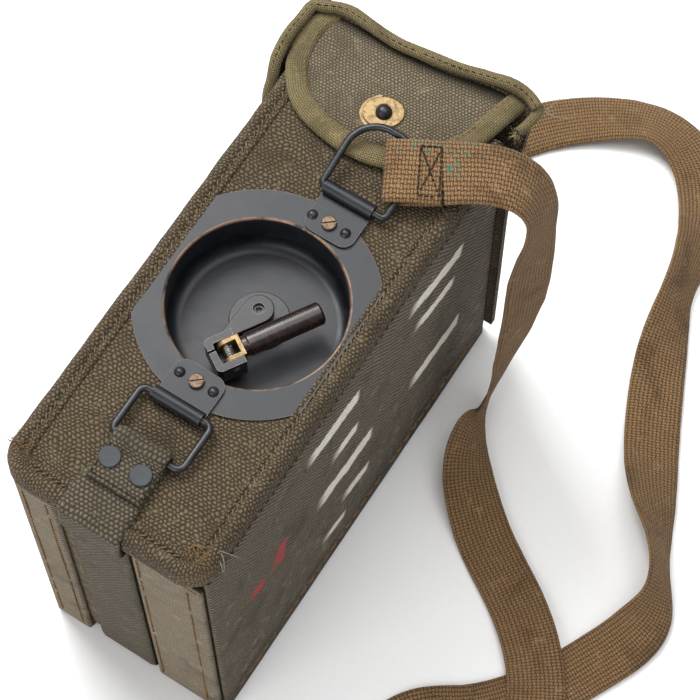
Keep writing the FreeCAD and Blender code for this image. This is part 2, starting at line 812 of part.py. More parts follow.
def spline_through(points, parameters):
    curve = Part.BSplineCurve()
    curve.interpolate(Points=points, Parameters=parameters)
    return curve


def make_strap(rear_start):
    fold, along, across, normal = strap_frame()
    write("strap_end_loop", loop_solid(fold, along, across, normal, 13.0, loop_length))
    begin = fold + along * (loop_length + loop_gap)
    centres = [begin]
    widths = [across]
    route = strap_drop_route + strap_front_route + strap_back_route
    for x, y, z, heading, lean in route:
        a = math.radians(heading)
        b = math.radians(lean)
        centres.append(V(x, y, z))
        widths.append(V(math.cos(a) * math.cos(b), math.sin(a) * math.cos(b), math.sin(b)))
    centres.append(rear_start)
    widths.append(V(1, 0, 0))
    parameters = [0.0]
    for first, second in zip(centres, centres[1:]):
        parameters.append(parameters[-1] + (second - first).Length)
    middle = spline_through(centres, parameters)
    edge = spline_through([c + w * (strap_width / 2) for c, w in zip(centres, widths)], parameters)

    stations = []
    for index in range(len(parameters) - 1):
        low, high = parameters[index], parameters[index + 1]
        for step in range(strap_steps):
            t = low + (high - low) * step / strap_steps
            sewn = index == 0 or index == len(parameters) - 2
            thickness = 2 * strap_thickness if sewn else strap_thickness
            across_here = edge.value(t) - middle.value(t)
            stations.append((middle.value(t), across_here, strap_width, thickness))
    stations.append((centres[-1], widths[-1], strap_width, 2 * strap_thickness))
    first_cut = len(strap_drop_route) * strap_steps
    sections = ribbon_sections(stations)
    write("strap_drop_run", ribbon(sections[:first_cut + 1]))
    write("strap_floor_run", ribbon(sections[first_cut:]))
    print("strap length, rings to ring:", round(middle.length() + 2 * loop_length, 1))
    lowest = min((vertex.Z, vertex.X, vertex.Y) for wire in sections for vertex in wire.Vertexes)
    print("strap lowest point (z, x, y):", [round(value, 2) for value in lowest])


def make_crank():
    bore = rod((crank_x, crank_y, cup_floor_top), (0, 0, 1), spigot_r, 20)
    half = clevis_width / 2
    edge = hub_across - hub_r
    reach = math.hypot(hub_along + clevis_foot, hub_across - half + 0.5)
    lean = math.atan2(hub_across - half + 0.5, hub_along + clevis_foot) + math.asin(hub_r / reach)
    side = math.sqrt(reach ** 2 - hub_r ** 2)
    outline = [
        V(-clevis_foot, half - 0.5, arm_back),
        V(side * math.cos(lean) - clevis_foot, side * math.sin(lean) + half - 0.5, arm_back),
        V(hub_along, hub_across, arm_back),
        V(hub_along, edge, arm_back),
        V(clevis_front, edge, arm_back),
    ]
    arm = Part.Face(Part.makePolygon(outline + outline[:1])).extrude(V(0, 0, arm_thickness))
    arm = fuse(arm, rod((hub_along, hub_across, arm_back), (0, 0, 1), hub_r, arm_thickness))
    arm = soften_top(arm, arm_front, 0.4)
    clevis_top = grip_axis_z + clevis_rise
    block = box((-clevis_back, clevis_front), (-half, half), (arm_back, clevis_top))
    block = block.makeFillet(2.2, edges_at(block, lambda e: e.CenterOfMass.x < 0.1 - clevis_back
                                           and abs(e.CenterOfMass.y) > half - 0.1))
    slot_floor = grip_axis_z - fork_r - 0.3
    slot_half = fork_width / 2 + slot_gap
    slot = box((clevis_cheek - clevis_back, clevis_front + 1), (-slot_half, slot_half), (slot_floor, clevis_top + 1))
    slit = box((-clevis_back - 1, clevis_cheek - clevis_back + 1), (1.5, 1.5 + clevis_slit),
               (slot_floor + 1, clevis_top + 1))
    pin_hole = rod((0, -half - 1, grip_axis_z), (0, 1, 0), pin_r, clevis_width + 2)
    arm = fuse(arm, block).cut(slot).cut(slit).cut(pin_hole)
    write("crank_arm", to_clevis(arm).cut(bore))

    washer = rod((crank_x, crank_y, cup_floor_top + 0.3), (0, 0, 1), washer_r, 1.0)
    boss = rod((crank_x, crank_y, cup_floor_top + 1.3), (0, 0, 1), boss_r, arm_floor_gap - 1.3)
    washer = fuse(soften_top(washer, cup_floor_top + 1.3, 0.4), boss)
    write("hub_washer", washer.cut(bore))

    screw_top = arm_front - arm_screw_depth
    screw = rod((crank_x, crank_y, arm_screw_z), (0, 0, 1), spigot_r, screw_top - arm_screw_z)
    hexagon = [V(crank_x + 1.5 * math.cos(math.radians(60 * i)),
                 crank_y + 1.5 * math.sin(math.radians(60 * i)), screw_top - 1.4) for i in range(6)]
    socket = Part.Face(Part.makePolygon(hexagon + hexagon[:1])).extrude(V(0, 0, 2))
    write("hub_screw", screw.cut(socket))

    spigot = rod((crank_x, crank_y, cup_floor_top + 0.3), (0, 0, 1), spigot_r, arm_screw_z - cup_floor_top - 0.3)
    shaft_back_z = gear_front_z - gear_width - 6.0
    shaft = rod((crank_x, crank_y, shaft_back_z), (0, 0, 1), shaft_r, cup_floor_top + 0.3 - shaft_back_z)
    write("crank_shaft", fuse(shaft, spigot))

    cheeks = box((0, fork_base), (-fork_width / 2, fork_width / 2), (grip_axis_z - fork_r, grip_axis_z + fork_r))
    cheeks = fuse(cheeks, rod((0, -fork_width / 2, grip_axis_z), (0, 1, 0), fork_r, fork_width))
    between = fork_width / 2 - fork_cheek
    cheeks = cheeks.cut(box((-10, fork_base - fork_cheek), (-between, between),
                            (grip_axis_z - 10, grip_axis_z + 10)))
    cheeks = cheeks.cut(rod((0, -fork_width, grip_axis_z), (0, 1, 0), pin_r, 2 * fork_width))
    spindle_end = grip_reach - 3.0
    spindle = rod((fork_base - 0.5, 0, grip_axis_z), (1, 0, 0), spindle_r, spindle_end - fork_base + 0.5)
    write("handle_fork", to_clevis(fuse(cheeks, spindle)))
    pin = rod((0, -half, grip_axis_z), (0, 1, 0), pin_r - 0.05, clevis_width)
    write("handle_pin", to_clevis(pin))

    start = fork_base + 0.3
    neck_end = start + grip_neck
    profile = [
        line(V(start, 0, 0), V(start, grip_neck_r, 0)),
        line(V(start, grip_neck_r, 0), V(neck_end, grip_neck_r, 0)),
        line(V(neck_end, grip_neck_r, 0), V(neck_end + 0.6, grip_r - 0.1, 0)),
        line(V(neck_end + 0.6, grip_r - 0.1, 0), V((neck_end + grip_reach) / 2, grip_r, 0)),
        line(V((neck_end + grip_reach) / 2, grip_r, 0), V(grip_reach - 0.8, grip_r - 0.1, 0)),
        line(V(grip_reach - 0.8, grip_r - 0.1, 0), V(grip_reach, grip_r - 0.9, 0)),
        line(V(grip_reach, grip_r - 0.9, 0), V(grip_reach, 0, 0)),
        line(V(grip_reach, 0, 0), V(start, 0, 0)),
    ]
    grip = loop_face(profile).revolve(V(0, 0, 0), V(1, 0, 0), 360)
    grip.translate(V(0, 0, grip_axis_z))
    grip = grip.cut(rod((start - 0.1, 0, grip_axis_z), (1, 0, 0), spindle_r + running_gap,
                        spindle_end - start + 0.4))
    write("handle_grip", to_clevis(grip))

    coil_r = pin_r + 0.15 + spring_wire_r
    height = 2 * (between - 0.2 - spring_wire_r)
    centres = []
    sections = []
    for step in range(spring_turns * 14 + 1):
        a = 2 * math.pi * step / 14
        across = height * (step / (spring_turns * 14) - 0.5)
        outward = V(math.cos(a), 0, math.sin(a))
        centres.append(V(0, across, grip_axis_z) + outward * coil_r)
        rim = [centres[-1] + outward * (spring_wire_r * math.cos(t)) + V(0, spring_wire_r * math.sin(t), 0)
               for t in (math.radians(60 * i) for i in range(6))]
        sections.append(Part.makePolygon(rim + rim[:1]))
    least = min(centres[i].distanceToPoint(centres[j]) for i in range(len(centres))
                for j in range(i + 7, len(centres))) - 2 * spring_wire_r
    print("least gap between the spring's turns", round(least, 2))
    write("handle_spring", to_clevis(Part.makeLoft(sections, True, True)))


def to_clevis(shape):
    """Turn and move a shape made along +X at the pin's axis to the clevis on the arm."""
    shape.rotate(V(0, 0, 0), V(0, 0, 1), grip_heading)
    shape.translate(V(pin_x, pin_y, 0))
    return shape


def gear(teeth, x, y, z, width, bore_r, turn):
    """A spur gear with straight-flanked teeth, tooth 0 centred on the turn angle."""
    pitch_r = module * teeth / 2
    tip_r = pitch_r + 0.9 * module
    root_r = pitch_r - 1.2 * module
    share = 360.0 / teeth
    points = []
    for tooth in range(teeth):
        base = turn + tooth * share
        for r, part in ((root_r, -0.30), (tip_r, -0.11), (tip_r, 0.11), (root_r, 0.30)):
            a = math.radians(base + part * share)
            points.append(V(x + r * math.cos(a), y + r * math.sin(a), z))
    blank = Part.Face(Part.makePolygon(points + points[:1])).extrude(V(0, 0, width))
    return blank.cut(rod((x, y, z - 1), (0, 0, 1), bore_r, width + 2))


def make_generator():
    gear_z = gear_front_z - gear_width
    drive = gear(gear_teeth, crank_x, crank_y, gear_z, gear_width, shaft_r + 0.03, -90)
    for i in range(5):
        a = math.radians(-54 + 72 * i)
        drive = drive.cut(rod((crank_x + 12 * math.cos(a), crank_y + 12 * math.sin(a), gear_z - 1),
                              (0, 0, 1), 3.6, gear_width + 2))
    write("drive_gear", drive)

    spacing = module * (gear_teeth + pinion_teeth) / 2
    pinion_y = crank_y - spacing
    pinion = gear(pinion_teeth, crank_x, pinion_y, gear_z - 0.5, gear_width + 1, 1.0, 90 + 180.0 / pinion_teeth)

    back_plate_front = gear_z - 4.0
    far_plate_front = back_plate_front - plate - armature_length - 4.0
    half = 22.0
    low_y = pinion_y - 17.0
    high_y = crank_y + 25.0
    frame = box((crank_x - half, crank_x + half), (low_y, high_y), (generator_front_z - plate, generator_front_z))
    frame = frame.fuse(box((crank_x - half, crank_x + half), (low_y, high_y),
                           (back_plate_front - plate, back_plate_front)))
    frame = frame.fuse(box((crank_x - half, crank_x + half), (low_y, pinion_y + 17.0),
                           (far_plate_front - plate, far_plate_front)))
    for sx in (-1, 1):
        post_x = crank_x + sx * (half - 3.5)
        frame = frame.fuse(rod((post_x, high_y - 4, back_plate_front), (0, 0, 1), 3.0,
                               generator_front_z - plate - back_plate_front))
        frame = frame.fuse(rod((post_x, low_y + 4, far_plate_front), (0, 0, 1), 3.0,
                               panel_back - wall - far_plate_front))
        frame = frame.fuse(rod((post_x, high_y - 4, generator_front_z), (0, 0, 1), 3.0,
                               cup_floor_top - sheet - generator_front_z))
    shaft_hole = rod((crank_x, crank_y, far_plate_front - 5), (0, 0, 1), shaft_r + running_gap, 80)
    armature_hole = rod((crank_x, pinion_y, far_plate_front - 5), (0, 0, 1), 2.0 + running_gap, 90)
    clamp = box((crank_x - 17.5, crank_x + 17.5), (pinion_y - 19.5, pinion_y - 17.5),
                (far_plate_front, back_plate_front - plate))
    frame = frame.fuse(clamp)
    write("generator_frame", frame.cut(shaft_hole).cut(armature_hole).removeSplitter())

    core_z = far_plate_front + 2.0
    core = rod((crank_x, pinion_y, core_z), (0, 0, 1), armature_r, armature_length)
    for sy in (-1, 1):
        core = core.cut(box((crank_x - 20, crank_x + 20), sorted((pinion_y + sy * 4.5, pinion_y + sy * 20)),
                            (core_z - 1, core_z + armature_length + 1)))
    winding = rod((crank_x, pinion_y, core_z + 3), (0, 0, 1), armature_r - 1.0, armature_length - 6)
    spindle = rod((crank_x, pinion_y, far_plate_front - plate - 1), (0, 0, 1), 2.0,
                  gear_z + gear_width + 0.5 - far_plate_front + plate + 1)
    write("armature", fuse(core, winding, spindle, pinion))

    magnets = []
    bar_depth = armature_length / 3 - 1.0
    for i in range(3):
        z = core_z + 1.0 + i * (bar_depth + 1.0)
        outer = rod((crank_x, pinion_y, z), (0, 0, 1), 17.5, bar_depth)
        outer = outer.fuse(box((crank_x - 17.5, crank_x + 17.5), (pinion_y, pinion_y + 16), (z, z + bar_depth)))
        bore = rod((crank_x, pinion_y, z - 1), (0, 0, 1), armature_r + 0.8, bar_depth + 2)
        mouth = box((crank_x - armature_r - 0.8, crank_x + armature_r + 0.8), (pinion_y, pinion_y + 20),
                    (z - 1, z + bar_depth + 1))
        magnets.append(outer.cut(bore).cut(mouth))
    write("generator_magnets", group(magnets))


def make_inside():
    left = wall - core_half
    right = core_half - wall
    floor = inside_floor_z
    ceiling = panel_back - wall
    deck = box((left, right), (deck_y, deck_y + plate), (floor, ceiling))
    flange_low = box((left, right), (deck_y - 14, deck_y), (floor, floor + plate))
    deck = fuse(deck, flange_low)
    write("chassis_deck", deck)

    cell_r = (core_half - wall - tray_side_gap - tray_wall - cell_gap) / 2
    cell_length = 60.0
    tray_half = core_half - wall - tray_side_gap
    tray_y = inside_end_y
    tray = box((-tray_half, tray_half), (tray_y, tray_y + cell_length + 7.0), (floor, floor + 28))
    hollow = box((1.5 - tray_half, tray_half - 1.5), (tray_y + 1.5, tray_y + cell_length + 5.5),
                 (floor + 1.5, floor + 40))
    write("battery_tray", tray.cut(hollow))
    cells = []
    for sx in (-1, 1):
        x = sx * (cell_r + 0.4)
        z = floor + 1.5 + cell_r
        can = rod((x, tray_y + 3.0, z), (0, 1, 0), cell_r, cell_length - 2)
        cap = rod((x, tray_y + 1.0 + cell_length, z), (0, 1, 0), 3.2, 1.6)
        cells.append(fuse(can, cap))
    write("battery_cells", group(cells))
    strips = []
    strips.append(box((-2 * cell_r, 2 * cell_r), (tray_y + 1.5, tray_y + 2.3), (floor + 6, floor + 26)))
    strips.append(box((-2 * cell_r, 2 * cell_r), (tray_y + cell_length + 4.7, tray_y + cell_length + 5.5),
                      (floor + 6, floor + 26)))
    for sx in (-1, 1):
        x = sx * (cell_r + 0.4)
        strips[1] = strips[1].fuse(rod((x, tray_y + cell_length + 2.6, floor + 1.5 + cell_r),
                                       (0, 1, 0), 2.5, 2.2))
        strips[0] = strips[0].fuse(rod((x, tray_y + 2.2, floor + 1.5 + cell_r), (0, 1, 0), 4.0, 0.8))
    write("battery_contacts", group(strips))

    block = 9.0
    induction_x = left + 16.0
    coil_end_z = panel_back - terminal_panel_gap - 4.0
    coil_start_z = coil_end_z - 58.0
    coil_y = deck_y - block
    bobbin = rod((induction_x, coil_y, coil_start_z), (0, 0, 1), 7.0, 58)
    for z in (coil_start_z, coil_end_z - 3):
        bobbin = bobbin.fuse(box((induction_x - block, induction_x + block), (coil_y - block, deck_y), (z, z + 3)))
    write("induction_coil", bobbin.removeSplitter())
    can = box((right - 36, right - 8), (deck_y - 17, deck_y), (coil_start_z + 4, coil_end_z - 10))
    can = can.makeFillet(2.5, edges_at(can, lambda e: e.CenterOfMass.y < deck_y - 16))
    write("capacitor", can)


def make_ringer():
    yoke_y = deck_y - 3.0
    coil_end_y = yoke_y - 26.0
    pivot_y = coil_end_y - 5.0
    middle_z = (gong_zs[0] + gong_zs[1]) / 2
    x = ringer_x
    frame = box((x - 14, x + 14), (yoke_y, deck_y), (gong_zs[0] - 5, gong_zs[1] + 5))
    crown_y = gong_rim_y - gong_r
    for z in gong_zs:
        post_end = crown_y + sheet + 0.3
        frame = frame.fuse(rod((x, post_end, z), (0, 1, 0), 2.0, yoke_y - post_end))
    frame = frame.fuse(box((x + 6.5, x + 9), (pivot_y - 3, yoke_y), (middle_z - 3, middle_z + 3)))
    frame = frame.fuse(box((x - 9, x - 6.5), (pivot_y - 3, yoke_y), (middle_z - 3, middle_z + 3)))
    hole = rod((x - 10, pivot_y, middle_z), (1, 0, 0), 1.5 + running_gap, 20)
    write("ringer_frame", frame.cut(hole).removeSplitter())

    gongs = []
    for z in gong_zs:
        centre = V(x, gong_rim_y, z)
        dome = Part.makeSphere(gong_r, centre).cut(Part.makeSphere(gong_r - sheet, centre))
        dome = dome.common(box((x - 20, x + 20), (gong_rim_y - 20, gong_rim_y), (z - 20, z + 20)))
        nut = rod((x, crown_y - 1.6, z), (0, 1, 0), 3.0, 2.2)
        gongs.append(fuse(dome, nut))
    write("ringer_gongs", group(gongs))

    coils = []
    for side in (-1, 1):
        z = middle_z + side * 7.5
        winding = rod((x, coil_end_y + 1.5, z), (0, 1, 0), 5.8, 24.5)
        core = rod((x, coil_end_y, z), (0, 1, 0), 2.4, 3)
        coils.append(fuse(winding, core))
    write("ringer_coils", group(coils))

    rocker = box((x - 4, x + 4), (pivot_y - 1, pivot_y + 1), (middle_z - 10, middle_z + 10))
    axle = rod((x - 9, pivot_y, middle_z), (1, 0, 0), 1.5, 18)
    arm = rod((x, pivot_y, middle_z), (0, -1, 0), 0.9, pivot_y - gong_rim_y + 3)
    ball = Part.makeSphere(2.2, V(x, gong_rim_y - 3, middle_z))
    write("ringer_clapper", fuse(rocker, axle, arm, ball))


def make_handset():
    top = deck_y + plate
    x = handset_x
    housing_y = top + 0.3 + 11.0
    handle_y = top + 44.0
    bend = 10.0
    k = bend * (1 - math.sqrt(0.5))
    low = housing_y + 12.0
    path = [
        line(V(x, low, ear_z), V(x, handle_y - bend, ear_z)),
        arc(V(x, handle_y - bend, ear_z), V(x, handle_y - k, ear_z + k), V(x, handle_y, ear_z + bend)),
        line(V(x, handle_y, ear_z + bend), V(x, handle_y, mouth_z - bend)),
        arc(V(x, handle_y, mouth_z - bend), V(x, handle_y - k, mouth_z - k), V(x, handle_y - bend, mouth_z)),
        line(V(x, handle_y - bend, mouth_z), V(x, low, mouth_z)),
    ]
    section = Part.Wire(Part.Circle(V(x, low, ear_z), V(0, 1, 0), 9.0).toShape())
    body = Part.Wire(path).makePipeShell([section], True, True)
    for z in (ear_z, mouth_z):
        body = body.fuse(rod((x, housing_y, z), (0, 1, 0), capsule_r, 9.0))
        body = body.fuse(Part.makeCone(capsule_r, 11.0, 8.0, V(x, housing_y + 9.0, z), V(0, 1, 0)))
    slot = box((x - 4.3, x + 4.3), (handle_y - 10, handle_y - 4), (talk_low_z - 0.3, talk_low_z + 40.3))
    write("handset_body", body.removeSplitter().cut(slot))

    ear_cap = rod((x, top + 0.3, ear_z), (0, 1, 0), cap_r, 11.0 - 0.05)
    ear_cap = ear_cap.makeFillet(2.5, edges_at(ear_cap, lambda e: e.CenterOfMass.y < top + 1
                                               and len(e.Vertexes) == 1))
    dish = rod((x, top, ear_z), (0, 1, 0), 14.0, 2.3)
    write("earpiece_cap", ear_cap.cut(dish))
    mouth_cap = Part.makeCone(cap_r - 4, cap_r, 4, V(x, top + 0.3, mouth_z), V(0, 1, 0))
    mouth_cap = mouth_cap.fuse(rod((x, top + 4.3, mouth_z), (0, 1, 0), cap_r, 7.0 - 0.05))
    for i in range(6):
        a = math.radians(60 * i)
        mouth_cap = mouth_cap.cut(rod((x + 9 * math.cos(a), top, mouth_z + 9 * math.sin(a)), (0, 1, 0), 2.0, 4))
    write("mouthpiece_cap", mouth_cap.removeSplitter())
    bar = box((x - 4, x + 4), (handle_y - 11.5, handle_y - 6.5), (talk_low_z, talk_low_z + 40))
    bar = bar.makeFillet(1.2, edges_at(bar, lambda e: abs(e.CenterOfMass.y - handle_y + 11.5) < 0.01))
    write("talk_bar", bar)


def make_terminals():
    top = deck_y + plate
    right = core_half - wall
    x = right - 1.0 - terminal_width / 2
    strip = box((x - terminal_width / 2, x + terminal_width / 2), (top, top + 4),
                (terminal_low_z, panel_back - terminal_panel_gap))
    hole = rod((x, top, switch_z), (0, 1, 0), 2.5 + running_gap, 6)
    write("terminal_panel", strip.cut(hole))
    posts = []
    for index, z in enumerate(post_zs):
        base = rod((x, top + 4, z), (0, 1, 0), 5.5, 2.5)
        stud = rod((x, top + 6.5, z), (0, 1, 0), 2.0, 13.0)
        posts.append(fuse(base, stud))
        cap_low = top + 6.5 + post_travel + 0.3
        cap = rod((x, cap_low, z), (0, 1, 0), 5.5, 9.0)
        ridge = rod((x, cap_low + 7.0, z), (0, 1, 0), 6.2, 2.0)
        bore = rod((x, cap_low - 1, z), (0, 1, 0), 2.0 + running_gap, 12)
        write("post_cap_" + str(index + 1), fuse(cap, ridge).cut(bore))
    write("binding_posts", group(posts))
    rotor = rod((x, top + 4.2, switch_z), (0, 1, 0), 7.5, 3.0)
    bar = box((x - 2, x + 2), (top + 7.2, top + 12), (switch_z - 7, switch_z + 7))
    spindle = rod((x, top + 0.3, switch_z), (0, 1, 0), 2.5, 4.0)
    write("selector_switch", fuse(rotor, bar, spindle))


make_case()
make_web()
make_cup()
make_keepers()
make_rings()
make_cover()
make_strap(make_rear_ring())
make_crank()
make_generator()
make_inside()
make_ringer()
make_handset()
make_terminals()
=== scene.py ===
import math
import random

import bpy
import numpy as np
from mathutils import Matrix, Vector, noise


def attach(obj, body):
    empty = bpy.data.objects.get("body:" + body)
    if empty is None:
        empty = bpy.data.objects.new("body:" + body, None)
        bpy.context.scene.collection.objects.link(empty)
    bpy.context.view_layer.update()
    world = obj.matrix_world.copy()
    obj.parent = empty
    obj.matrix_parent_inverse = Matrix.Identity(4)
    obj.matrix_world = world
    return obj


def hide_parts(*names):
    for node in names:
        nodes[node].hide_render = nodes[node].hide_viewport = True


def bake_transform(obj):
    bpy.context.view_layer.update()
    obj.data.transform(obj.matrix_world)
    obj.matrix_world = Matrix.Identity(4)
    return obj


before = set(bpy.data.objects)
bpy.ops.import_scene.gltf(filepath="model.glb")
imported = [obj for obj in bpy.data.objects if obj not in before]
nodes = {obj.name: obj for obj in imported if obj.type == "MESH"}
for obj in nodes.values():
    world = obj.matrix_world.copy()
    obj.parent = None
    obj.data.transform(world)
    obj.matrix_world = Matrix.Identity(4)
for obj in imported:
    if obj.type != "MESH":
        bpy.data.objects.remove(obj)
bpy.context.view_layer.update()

MM = 0.001
rng = random.Random(7)

# Sizes repeated from the part's source, in millimetres.
HALF_W = 46.0
DEPTH = 185.0
EDGE_Y = -117.5
MOUTH_Y = 99.0
PANEL_T = 12.0
CORNER = 12.0
CORE = 43.0
SKIN = 2.4
CORE_END = -112.1
END_Y = -114.5
CH_L, CH_R = -25.0, 11.0
CUP = (1.0, -10.5)
HOOD_L, HOOD_R = -50.4, 49.0
HOOD_HINGE, RIM_RISE = 12.0, 6.5
EAR_LOW, EAR_ROUND = DEPTH + RIM_RISE - 120.0, 24.0
PANEL_HALF, CUP_HOLE = 45.0, 36.9
BAR_Z = 189.4  # the height of both ring bars on the crank side
TONGUE_Z = 186.2
TONGUE_T = 2.4


# Materials
class Shader:
    """A small helper round one procedural material."""

    def __init__(self, name):
        self.mat = bpy.data.materials.new(name)
        self.mat.use_nodes = True
        self.tree = self.mat.node_tree
        self.tree.nodes.clear()
        self.out = self.add("ShaderNodeOutputMaterial")
        self.bsdf = self.add("ShaderNodeBsdfPrincipled")
        self.link(self.bsdf.outputs[0], self.out.inputs[0])

    def add(self, kind, **settings):
        node = self.tree.nodes.new(kind)
        for key, value in settings.items():
            setattr(node, key, value)
        return node

    def link(self, a, b):
        self.tree.links.new(a, b)

    def put(self, socket, value):
        if hasattr(value, "links") or hasattr(value, "is_linked"):
            self.link(value, socket)
        else:
            socket.default_value = value

    def math(self, op, a, b=0.0, c=None, clamp=False):
        node = self.add("ShaderNodeMath", operation=op, use_clamp=clamp)
        self.put(node.inputs[0], a)
        self.put(node.inputs[1], b)
        if c is not None:
            self.put(node.inputs[2], c)
        return node.outputs[0]

    def mul(self, a, b):
        return self.math("MULTIPLY", a, b)

    def plus(self, a, b):
        return self.math("ADD", a, b)

    def minus(self, a, b):
        return self.math("SUBTRACT", a, b)

    def mix(self, fac, a, b):
        node = self.add("ShaderNodeMix", data_type="RGBA")
        self.put(node.inputs[0], fac)
        self.put(node.inputs[6], a if not isinstance(a, tuple) else (*a, 1.0))
        self.put(node.inputs[7], b if not isinstance(b, tuple) else (*b, 1.0))
        return node.outputs[2]

    def coords(self, kind):
        node = self.add("ShaderNodeTexCoord")
        return node.outputs[kind]

    def mm(self, kind="Object"):
        node = self.add("ShaderNodeVectorMath", operation="SCALE")
        self.link(self.coords(kind), node.inputs[0])
        node.inputs["Scale"].default_value = 1000.0
        return node.outputs[0]

    def split(self, vector):
        node = self.add("ShaderNodeSeparateXYZ")
        self.link(vector, node.inputs[0])
        return node.outputs

    def noise(self, vector, scale, detail=3.0, rough=0.55, distortion=0.0):
        node = self.add("ShaderNodeTexNoise")
        self.link(vector, node.inputs["Vector"])
        node.inputs["Scale"].default_value = scale
        node.inputs["Detail"].default_value = detail
        node.inputs["Roughness"].default_value = rough
        node.inputs["Distortion"].default_value = distortion
        return node

    def step(self, value, low, high):
        node = self.add("ShaderNodeMapRange", interpolation_type="SMOOTHSTEP")
        self.put(node.inputs["Value"], value)
        node.inputs["From Min"].default_value = low
        node.inputs["From Max"].default_value = high
        return node.outputs[0]

    def shift(self, vector, by, amount):
        """vector moved by a noise colour, centred, times amount."""
        sub = self.add("ShaderNodeVectorMath", operation="SUBTRACT")
        self.link(by, sub.inputs[0])
        sub.inputs[1].default_value = (0.5, 0.5, 0.5)
        scaled = self.add("ShaderNodeVectorMath", operation="SCALE")
        self.link(sub.outputs[0], scaled.inputs[0])
        scaled.inputs["Scale"].default_value = amount
        total = self.add("ShaderNodeVectorMath", operation="ADD")
        self.link(vector, total.inputs[0])
        self.link(scaled.outputs[0], total.inputs[1])
        return total.outputs[0]

    def bump(self, height, distance, strength=1.0, normal=None):
        node = self.add("ShaderNodeBump")
        node.inputs["Strength"].default_value = strength
        node.inputs["Distance"].default_value = distance
        self.link(height, node.inputs["Height"])
        if normal is not None:
            self.link(normal, node.inputs["Normal"])
        return node.outputs[0]

    def edges(self, radius):
        """1 near a sharp edge of the mesh, 0 on flat parts."""
        bevel = self.add("ShaderNodeBevel", samples=6)
        bevel.inputs["Radius"].default_value = radius
        geometry = self.add("ShaderNodeNewGeometry")
        dot = self.add("ShaderNodeVectorMath", operation="DOT_PRODUCT")
        self.link(bevel.outputs[0], dot.inputs[0])
        self.link(geometry.outputs["Normal"], dot.inputs[1])
        return self.math("SUBTRACT", 1.0, dot.outputs["Value"], clamp=True)

    def set(self, **values):
        names = {"color": "Base Color", "rough": "Roughness", "metal": "Metallic", "normal": "Normal",
                 "sheen": "Sheen Weight", "sheen_rough": "Sheen Roughness", "spec": "Specular IOR Level",
                 "coat": "Coat Weight", "coat_rough": "Coat Roughness"}
        for key, value in values.items():
            if isinstance(value, tuple):
                value = (*value, 1.0)
            self.put(self.bsdf.inputs[names[key]], value)
        return self.mat


def woven(name, pitch, dark, mid, light, relief=0.35, style="pebble", wear=(0.0, 0.62), worn=None, grime=0.5,
          sheen=0.04, rough=0.88, wobble=0.5, gap_shade=0.75, extra=None):
    """Cloth from its own threads: pitch is the thread spacing across and along, in mm of the cloth's UVs."""
    s = Shader(name)
    uv = s.mm("UV")
    place = s.mm("Object")
    drift = s.noise(place, 0.09, 2.0).outputs["Color"]
    fine = s.noise(place, 0.55, 2.0).outputs["Color"]
    flat = s.shift(s.shift(uv, drift, pitch[0] * 3.0 * wobble), fine, pitch[0] * 0.9 * wobble)
    x, y, _ = s.split(flat)
    u = s.math("DIVIDE", x, pitch[0])
    v = s.math("DIVIDE", y, pitch[1])
    row = s.math("MODULO", s.math("ABSOLUTE", s.math("FLOOR", v)), 2.0)
    if style == "pebble":
        u = s.plus(u, s.mul(row, 0.5))
    fu = s.math("SINE", s.mul(s.math("FRACT", u), math.pi))
    fv = s.math("SINE", s.mul(s.math("FRACT", v), math.pi))
    if style == "pebble":
        height = s.mul(fu, fv)
    elif style == "ribs":
        height = s.mul(fv, s.plus(0.72, s.mul(fu, 0.28)))
    elif style == "twill":
        ridge = s.math("SINE", s.mul(s.math("FRACT", s.plus(u, v)), math.pi))
        height = s.mul(ridge, s.plus(0.65, s.mul(fv, 0.35)))
    else:
        over = s.math("GREATER_THAN", s.mul(s.math("SINE", s.mul(u, math.pi)),
                                             s.math("SINE", s.mul(v, math.pi))), 0.0)
        height = s.plus(s.mul(over, fu),
                        s.mul(s.minus(1.0, over), fv))
    hair = s.noise(place, 3.2, 4.0, 0.7).outputs["Fac"]
    patch = s.noise(place, 0.045, 4.0, 0.62, 0.6).outputs["Fac"]
    blot = s.noise(place, 0.16, 5.0, 0.68, 0.4).outputs["Fac"]
    # The colour follows the weave's height: painted shade low in the weave, a painted highlight on the raised
    # thread tops and painted shade in the gaps between threads. The hair noise is the fibres' own colour.
    tone = s.plus(s.mul(height, 0.62), s.mul(hair, 0.5))
    colour = s.mix(s.step(tone, 0.1, 0.95), dark, mid)
    top = s.mul(s.step(height, 0.35, 1.0), s.step(hair, 0.42, 0.7))
    colour = s.mix(s.mul(top, 0.8), colour, light)
    # painted shade in the gaps between threads
    gap = s.mul(s.step(height, 0.34, 0.04), gap_shade)
    colour = s.mix(gap, colour, tuple(c * 0.4 for c in dark))
    colour = s.mix(s.mul(s.step(patch, 0.5, 0.72), grime), colour, dark)
    colour = s.mix(s.mul(s.step(blot, 0.56, 0.72), 0.35), colour, light)
    if worn is not None:
        edge = s.step(s.plus(s.edges(0.0022), s.mul(s.minus(blot, 0.5), 0.5)),
                      wear[0] + 0.02, wear[1])
        colour = s.mix(s.mul(edge, 0.8), colour, worn)
    roughness = s.math("ADD", rough - 0.12, s.mul(hair, 0.2), clamp=True)
    if extra is not None:
        colour, roughness = extra(s, place, colour, roughness, blot, hair, height)
    relief_map = s.plus(height, s.mul(hair, 0.45))
    normal = s.bump(relief_map, relief * MM, 1.0)
    normal = s.bump(patch, 1.6 * MM, 0.35, normal)
    return s.set(color=colour, rough=roughness, normal=normal, sheen=sheen, sheen_rough=0.6, spec=0.16)


